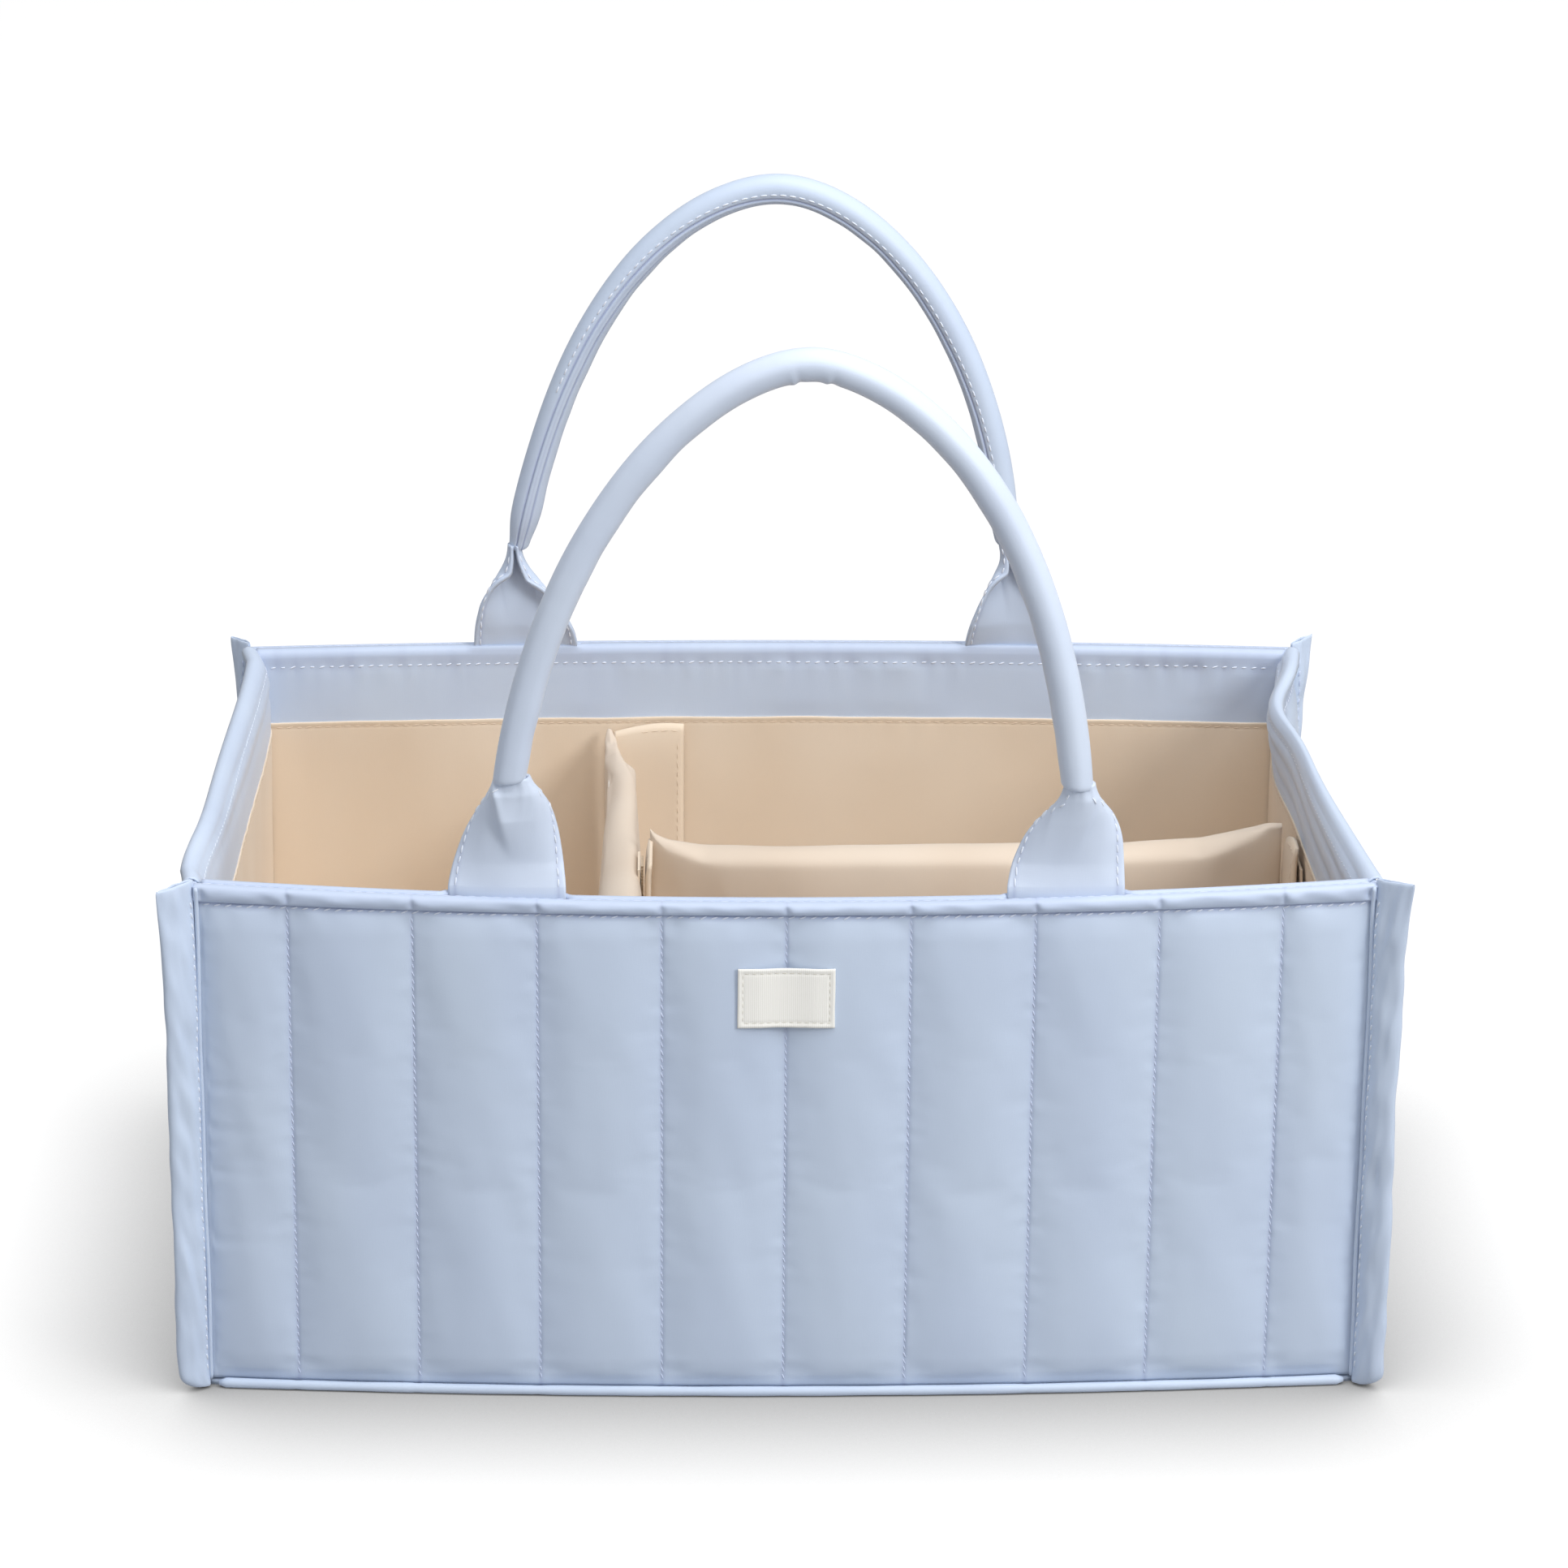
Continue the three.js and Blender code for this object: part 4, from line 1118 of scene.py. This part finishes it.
margin_columns = round(tab_margin / tab_half_width * tab_columns / 2)
for handle in handles:
    name, side = handle["name"], handle["side"]
    for end, sign in (("left", -1), ("right", 1)):
        points = tab_points(handle, sign)
        shares = np.abs(np.linspace(-1, 1, tab_columns + 1))
        # Painted shade along the topstitched lines near each edge of the tab.
        sewn = hump(((1 - shares) * tab_half_width - tab_margin) / (0.7 * mm)) * 0.45
        form = woven(points[::-side], np.broadcast_to(sewn[:, None], points.shape[:2]))
        covered = [f"{name}_handle_{end}_tab", f"{name}_handle_{end}_root"]
        tab = finished(f"{name}_{end}_tab_cloth", form, handle["cloth"], stands_for=covered)
        thickened(tab, tab_thickness)
        surface = surface_of(tab)
        form = bmesh.new()
        for column in (margin_columns, tab_columns - margin_columns):
            for facing_way in (side, -side):
                line = points[column, 3:-5]
                sew(form, surface, line, (0, facing_way, 0), hem_pitch, 2.7 * mm, 0.32 * mm)
        stitches = finished(f"{name}_{end}_tab_stitching", form, pale_thread)
        for piece in (tab, stitches):
            fold_start = (0, side * hinge_reach, box_height)
            fold_end = (0, side * hinge_reach, 2 * handle_hinge - box_height - 4 * mm)
            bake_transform(piece)

# Label: a small woven ribbed tape, bare, folded in at its edges and sewn down all round across the
# middle seam, so its middle dips a little.
label_width = 31 * mm
label_height = 20 * mm
label_middle = 140.4 * mm
label_thickness = 0.7 * mm
label_margin = 1.7 * mm
label_dip = 0.7 * mm
label_stitch_pitch = 2.4 * mm
label_rib_pitch = 0.62 * mm

ribbed = Finish("ivory_ribbed_tape", "ivory_tape")
label_map = ribbed.node("ShaderNodeUVMap", {"uv_map": "cloth"})
rib_across = ribbed.node("ShaderNodeSeparateXYZ", None, [label_map], "X")
ribs_per_metre = 2 * half_turn / label_rib_pitch
ribs = ribbed.node("ShaderNodeMath", {"operation": "SINE"}, [rib_across * ribs_per_metre])
cross_threads = ribbed.noise(ribbed.stretched(label_map, (500, 2600, 1)), 1)
ribbed.shade(
    Base_Color=ribbed.blend(ribs * 0.5 + 0.5, painted(243, 242, 236), painted(252, 251, 247)),
    Roughness=0.75,
    Sheen_Weight=0.15,
    Normal=ribbed.bump(ribs * 0.5 + cross_threads * 0.4, 0.08 * mm, 0.35),
)
ivory_thread = spun("ivory_thread", "ivory_tape", painted(205, 202, 190), painted(226, 224, 214))
panel_surface = surface_of(panels["front"])
shares = np.linspace(-1, 1, 57)
levels = label_middle + np.linspace(-1, 1, 37) * label_height / 2
label_along, label_z = grid(shares * label_width / 2, levels)
under = []
for share in shares:
    spot = front_wall.place(share * label_width / 2, -20 * mm, label_middle)
    hit = panel_surface.ray_cast(Vector(spot), (0, 1, 0), 40 * mm)[0]
    seat = front_wall.place(share * label_width / 2, 0, label_middle)
    under.append(seat[1] - hit.y)
under = np.array(under)
raised = np.maximum(under, under.max() - label_dip * (1 - (shares / 0.6) ** 2).clip(0, 1) ** 1.5)
from_middle = label_z - label_middle
border = np.minimum(label_width / 2 - np.abs(label_along), label_height / 2 - np.abs(from_middle))
folded = 0.14 * mm * hump((border - 0.9 * mm) / (0.8 * mm))
sewn = hump((border - label_margin) / (0.35 * mm))
uneven_edge = 1 + 0.012 * ripples(label_along, label_z, 6 * mm, 3) * (border < 2 * mm)
label_out = raised[:, None] + label_thickness + folded - 0.25 * mm * sewn
label_rows = label_middle + from_middle * uneven_edge
form = woven(front_wall.place(label_along * uneven_edge, -label_out, label_rows))
label = finished("front_woven_label", form, ribbed, "caddy", ["front_label"])
thickened(label, label_thickness)
form = bmesh.new()
surface = surface_of(label)
half_wide, half_high = label_width / 2 - label_margin, label_height / 2 - label_margin
for edge in (-1, 1):
    rows = [
        line_on(front_wall, (-half_wide, half_wide), 0, label_middle + edge * half_high),
        line_on(front_wall, edge * half_wide, 0, (label_middle - half_high, label_middle + half_high)),
    ]
    for row in rows:
        sew(form, surface, row, (0, -1, 0), label_stitch_pitch, 1.7 * mm, 0.18 * mm)
finished("label_stitching", form, ivory_thread, "caddy")

# Lining: cream cotton inside each wall, hemmed at its top edge below the rim, and on the floor.
cream_slot = "cream_cotton"
cream_light, cream_dark = painted(237, 223, 205), painted(226, 206, 182)
# The painted shade colour for the cream cloth.
cream_painted_shade = painted(196, 168, 138)
# The dividers wear a darker copy of the cream cotton: painted shade over cloth that the lamps light
# brightly from above.
shaded_cream_light, shaded_cream_dark = painted(219, 206, 191), painted(210, 193, 175)
cream_cotton = cotton("cream_cotton", cream_slot, cream_light, cream_dark, cream_painted_shade, 0.15, 0.55)
shaded_cream_cotton = cotton("cream_divider_cotton", cream_slot, shaded_cream_light, shaded_cream_dark, cream_painted_shade, 0.15, 0.6)
cream_thread = spun("cream_thread", cream_slot, painted(214, 192, 168), painted(232, 216, 197))
lining_inward = 6.7 * mm
lining_foot = 5 * mm
lining_thickness = 0.6 * mm
lining_hem = 1.9 * mm
lining_overlap = 1.6 * mm
floor_top = 5.2 * mm

for number, wall in enumerate(walls):
    half = wall.length / 2 - lining_inward + lining_overlap * wall.long
    body = np.linspace(lining_foot, lining_top - 10 * mm, 40)
    heights = np.concatenate([body, np.linspace(lining_top - 9 * mm, lining_top, 18)])
    lengths, z = grid(np.linspace(-half, half, 200), heights)
    ends = capped((half - np.abs(lengths)) / (14 * mm))
    from_top = lining_top - z
    near_hem = np.exp(-np.abs(from_top - lining_hem) / (7 * mm))
    slack = 0.9 * mm * ripples(lengths + z * 0.5, z, 42 * mm, 20 + 3.7 * number)
    gathers = 0.4 * mm * ripples(lengths, z * 0.4, 8 * mm, 31 + number) * near_hem
    sewn = hump((from_top - lining_hem) / (0.6 * mm))
    hem = 0.12 * mm * capped((lining_hem - from_top) / (0.8 * mm)) - 0.12 * mm * sewn
    uneven_top = z - 0.35 * mm * ripples(lengths, z, 24 * mm, 60 + number) * (from_top < lining_hem)
    hang = capped(from_top / (16 * mm))
    loose = (slack - 0.5 * mm) * hang + np.abs(gathers)
    inward = lining_inward + loose * ends + hem - 0.5 * mm * (1 - hang)
    # The lining gets painted shade along the dip of its hem stitching.
    form = woven(wall.place(lengths, inward, uneven_top)[::-1], sewn[::-1] * 0.35)
    name = f"{wall.name}_lining"
    lining = finished(f"{name}_cloth", form, cream_cotton, "caddy", [name])
    thickened(lining, lining_thickness)
    lining_flat = (2 * half, lining_top - lining_foot)
    form = bmesh.new()
    line = line_on(wall, (-half + 2 * mm, half - 2 * mm), lining_inward, lining_top - lining_hem)
    sew(form, surface_of(lining), line, wall.turn @ (0, 1, 0), hem_pitch, 2.4 * mm, 0.2 * mm, 0.1)
    finished(f"{wall.name}_lining_stitching", form, cream_thread, "caddy")

lining_share = 1 - lining_inward / (box_length / 2)
across_shares = np.linspace(-1, 1, 60)
share_along, share_across = grid(np.linspace(-lining_share, lining_share, 80), across_shares)
x, y = base_outline(share_along, share_across)
y -= share_across * lining_inward
edge = capped((1 - np.maximum(np.abs(share_along) / lining_share, np.abs(share_across))) / 0.06)
form = woven(np.stack([x, y, floor_top + 0.4 * mm * ripples(x, y, 45 * mm, 40) * edge], -1))
floor_cloth = finished("floor_lining_cloth", form, cream_cotton, "caddy", ["base_lining"])
thickened(floor_cloth, 0.8 * mm)
floor_flat = (2 * lining_share * box_length / 2, box_depth + 2 * wall_bow - 2 * lining_inward)
floor_area = floor_flat[0] * (floor_flat[1] - wall_bow * 2 / 3)

# Dividers: a padded board in folded cream cloth. The board stops short of each end, where the cloth is
# pinched together to the edge that a flap hangs from. A cloth simulation fills the slack cloth out.
divider_foot = 5.5 * mm
divider_top = 144 * mm
divider_half = 6 * mm
divider_columns = 90
divider_pressure = 0.3
divider_spare = 0.002
divider_wrap = 1.5 * mm
divider_edge = 0.6 * mm
under_share = 0.9
side_rows = 27
board_clearance = 0.5 * mm
board_margin = 3 * mm
cross_place = -54 * mm
long_place = 4 * mm
dividers = [
    {
        "name": "cross",
        "axis": 1,
        "ends": (-116.3 * mm, 116.3 * mm),
        "thick": (
            [0, 3, 12, 28, 90, 130, 185, 212, 229, 232.6],
            [0.3, 0.45, 0.8, 1, 0.95, 0.88, 0.76, 0.56, 0.3, 0.16],
        ),
        "raised": ([0, 30, 110, 200, 226, 232.6], [0, -0.5, -1, -0.5, 0.4, 1.4]),
        "aside": ([0, 196, 232.6], [0, 0, -4.6]),
        "sag": 2.6 * mm,
        "turned": lambda along, across, z: (cross_place + across, along, z),
    },
    {
        "name": "long",
        "axis": 0,
        "ends": (-43.6 * mm, 172.8 * mm),
        "thick": ([0, 2, 10, 26, 192, 207, 216.4], [0.16, 0.34, 0.72, 1, 1, 0.7, 0.2]),
        "raised": (
            [0, 2, 6, 18, 60, 110, 160, 188, 206, 212, 216.4],
            [3.4, 1.4, -0.2, -1.6, -1.4, -0.8, -0.2, 1.4, 4.6, 5.6, 5.2],
        ),
        "aside": ([0, 24, 190, 216.4], [-2, 0, 0, -2]),
        "sag": -1.5 * mm,
        "turned": lambda along, across, z: (along, long_place - across, z),
    },
]


def divider_section(half_thickness, top):
    """The cover in section, from one foot over the top to the other foot and back underneath."""
    rows = [divider_foot, *np.linspace(divider_foot + divider_edge, top - half_thickness, side_rows - 1)]
    left = [(-half_thickness, z) for z in rows]
    turn = np.linspace(half_turn, 0, 14)[1:-1]
    shoulder = top - half_thickness
    over = [(half_thickness * math.cos(a), shoulder + half_thickness * math.sin(a)) for a in turn]
    right = [(-across, z) for across, z in left[::-1]]
    under = [(half_thickness * share, divider_foot) for share in (under_share, -under_share)]
    return np.array(left + over + right + under + [left[0]])


def divider_points(divider):
    """The cover as a grid. Thickness, raised top and leaning aside are given along it, in millimetres."""
    low, high = divider["ends"]
    shares = np.linspace(-1, 1, divider_columns)
    places = (np.sign(shares) * np.abs(shares) ** 0.75 + 1) / 2 * (high - low)
    points = []
    for place in places:
        thick = divider_half * np.interp(place / mm, *divider["thick"])
        top = divider_top + np.interp(place / mm, *divider["raised"]) * mm
        aside = np.interp(place / mm, *divider["aside"]) * mm
        points.append([(low + place, across + aside, z) for across, z in divider_section(thick, top)])
    points = np.array(points)
    rise = capped((points[..., 2] - divider_foot) / (divider_top - divider_foot))
    from_end = np.minimum(points[..., 0] - low, high - points[..., 0])
    shown = capped(from_end / (18 * mm))
    to_side = np.clip(points[..., 1] / (2 * divider_half), -0.5, 0.5)
    near_top = capped((points[..., 2] - divider_top) / (22 * mm) + 1)
    slack = 1.3 * mm * ripples(points[..., 0], points[..., 2], 32 * mm, high / mm)
    points[..., 1] += slack * shown * rise
    sag = divider["sag"]
    points[..., 2] += sag * (to_side - math.copysign(0.5, sag)) * near_top * shown
    return points


for divider in dividers:
    name = divider["name"]
    points = divider_points(divider)
    held = np.zeros(points.shape[:2], bool)
    held[[0, 1, -2, -1]] = True
    held[:, [0, 1, 2, -6, -5, -4, -3, -2, -1]] = True
    places = swollen(woven(points), held.T.ravel(), divider_pressure, divider_spare)
    points = places.reshape(points.shape[1], points.shape[0], 3).transpose(1, 0, 2)
    board_low, board_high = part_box(f"{name}_divider_board")
    half_board = board_clearance + (divider_half - divider_wrap)
    first, last = board_low[divider["axis"]] - board_margin, board_high[divider["axis"]] + board_margin
    beside = (points[..., 0] > first) & (points[..., 0] < last)
    lower = points[..., 2] < board_high.z + board_clearance
    # The cloth's straight sides end at these two rows. Where it is thinner than the board, they rest on it.
    for shoulder in (side_rows - 1, -side_rows - 3):
        thin = beside[:, shoulder] & ~lower[:, shoulder] & (np.abs(points[:, shoulder, 1]) < half_board)
        side = np.sign(points[thin, shoulder, 1])
        points[thin, shoulder, 1] = side * (half_board + board_clearance)
        points[thin, shoulder, 2] = board_high.z + 2 * board_clearance
    outside = np.sign(points[..., 1]) * np.maximum(np.abs(points[..., 1]), half_board)
    points[..., 1] = np.where(beside & lower, outside, points[..., 1])
    points[:, -3:-1, 1] = points[:, [-4, 0], 1] * under_share
    over = beside & ~lower & (np.abs(points[..., 1]) < half_board)
    above_board = board_high.z + board_clearance
    points[..., 2] = np.where(over, np.maximum(points[..., 2], above_board), points[..., 2])
    form = woven(np.stack(divider["turned"](*np.moveaxis(points, -1, 0)), -1), round_up=True)
    close_ends(form)
    node = f"{name}_divider_cover"
    cover = finished(f"{name}_divider_cloth", form, shaded_cream_cotton, f"{name}_divider", [node])
    rounded(cover)

# Flaps: a double layer of the cream cloth sewn across each end of a divider and topstitched along its
# free edges.
flap_margin = 2.6 * mm
flap_root = 9.5 * mm
flap_fold = 1.2 * mm
flap_thickness = 1.3 * mm
flap_rises = {"cross_divider_back_flap": 3.2 * mm, "long_divider_right_flap": 6 * mm}
flap_cover = 1.8 * mm
flap_bodies = {
    "cross_divider_back_flap": "cross_back_flap",
    "cross_divider_front_flap": "cross_front_flap",
    "long_divider_left_flap": "long_left_flap",
    "long_divider_right_flap": "long_right_flap",
}
for node, body in flap_bodies.items():
    divider = node.rsplit("_", 2)[0]
    low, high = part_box(node)
    middle = (low + high) / 2
    size = high - low
    thin = 0 if size.x < size.y else 1
    wide = 1 - thin
    facing_way = -1 if middle[thin] > (cross_place if thin == 0 else 0) else 1
    fold_edge, free_edge = (low.x, high.x + flap_cover) if wide == 0 else (high.y, low.y - flap_cover)
    root_edge = fold_edge + (flap_root if wide == 1 else -flap_root)
    shares, rises = grid(np.linspace(0, 1, 33), np.linspace(-1, 1, 61))
    points = np.empty((*shares.shape, 3))
    points[..., wide] = root_edge + (free_edge - root_edge) * shares
    lifted = flap_rises.get(node, 0) * np.sin(shares * 0.65 * half_turn) * capped(rises) ** 4
    points[..., 2] = middle.z + rises * size.z / 2 + lifted
    face = high[thin] if facing_way > 0 else low[thin]
    wave = 0.25 * mm * ripples(points[..., wide], points[..., 2], 16 * mm, middle.x / mm)
    border = np.maximum(shares * 2 - 1, np.abs(rises)).clip(0, 1) ** 14 * 1.5 * mm
    points[..., thin] = face + facing_way * (wave - border)
    form = woven(points)
    form.normal_update()
    form.faces.ensure_lookup_table()
    way = np.eye(3)[thin] * facing_way
    if form.faces[0].normal.dot(Vector(way)) < 0:
        bmesh.ops.reverse_faces(form, faces=form.faces)
    flap = finished(f"{node}_cloth", form, cream_cotton, stands_for=[node])
    thickened(flap, flap_thickness)
    flap_flat = (round(size[wide] + flap_cover + flap_root, 4), round(size.z, 4))
    form = bmesh.new()
    surface = surface_of(flap)
    inset = round(flap_margin / flap_flat[0] * 32)
    for line in (points[-1 - inset, 2:-2], points[12:-1, -2]):
        sew(form, surface, line, way, hem_pitch, 2.4 * mm, (0.2 if node in flap_rises else 0.12) * mm)
    stitches = finished(f"{node}_stitching", form, cream_thread)
    fold_start, fold_end = middle.copy(), middle.copy()
    to_free = math.copysign(flap_fold, free_edge - fold_edge)
    fold_start[wide] = fold_edge - to_free
    fold_end[wide] = fold_edge + to_free
    for piece in (flap, stitches):
        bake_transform(piece)

# Hook-and-loop tapes: stiff tape with rows of small hooks behind each flap, and brushed loop tape on
# the walls and on the cross divider.
hook_tape = Finish("hook_tape")
hook_place = hook_tape.on_object()
hook_rows = {"Vector": hook_place, "Scale": 900, "Randomness": 0.2}
hooks = hook_tape.node("ShaderNodeTexVoronoi", {"feature": "F1"}, hook_rows)
hook_tape.shade(
    Base_Color=hook_tape.blend(hooks, painted(206, 188, 164), painted(178, 158, 132)),
    Roughness=0.45,
    Normal=hook_tape.bump(1 - hooks, 0.5 * mm, 0.9),
)
loop_tape = Finish("loop_tape")
loop_place = loop_tape.on_object()
pile = loop_tape.noise(loop_place, 1400, detail=4, roughness=0.7)
loop_tape.shade(
    Base_Color=loop_tape.blend(pile, painted(218, 200, 177), painted(228, 212, 192)),
    Roughness=0.95,
    Sheen_Weight=0.3,
    Normal=loop_tape.bump(pile, 0.15 * mm, 0.5),
)


def dress(ending, finish):
    """Gives the frame's own nodes with that ending of the name their finish."""
    for node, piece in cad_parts.items():
        if node.endswith(ending):
            piece.data.materials.clear()
            piece.data.materials.append(finish.material)


dress("_hook_tape", hook_tape)
dress("_loop_tape", loop_tape)

# Stiffening: grey board in the long walls and the base, and stiff white foam in the dividers. All of
# it is closed in by the cloth.
grey_board = Finish("grey_board")
board_place = grey_board.on_object()
fibres = grey_board.noise(grey_board.stretched(board_place, (60, 60, 400)), 1, detail=4)
grey_board.shade(
    Base_Color=grey_board.blend(fibres, painted(186, 182, 174), painted(212, 208, 200)),
    Roughness=0.85,
    Normal=grey_board.bump(fibres, 0.2 * mm, 0.4),
)
dress(("front_board", "back_board", "base_board"), grey_board)
dress("divider_board", white_foam)
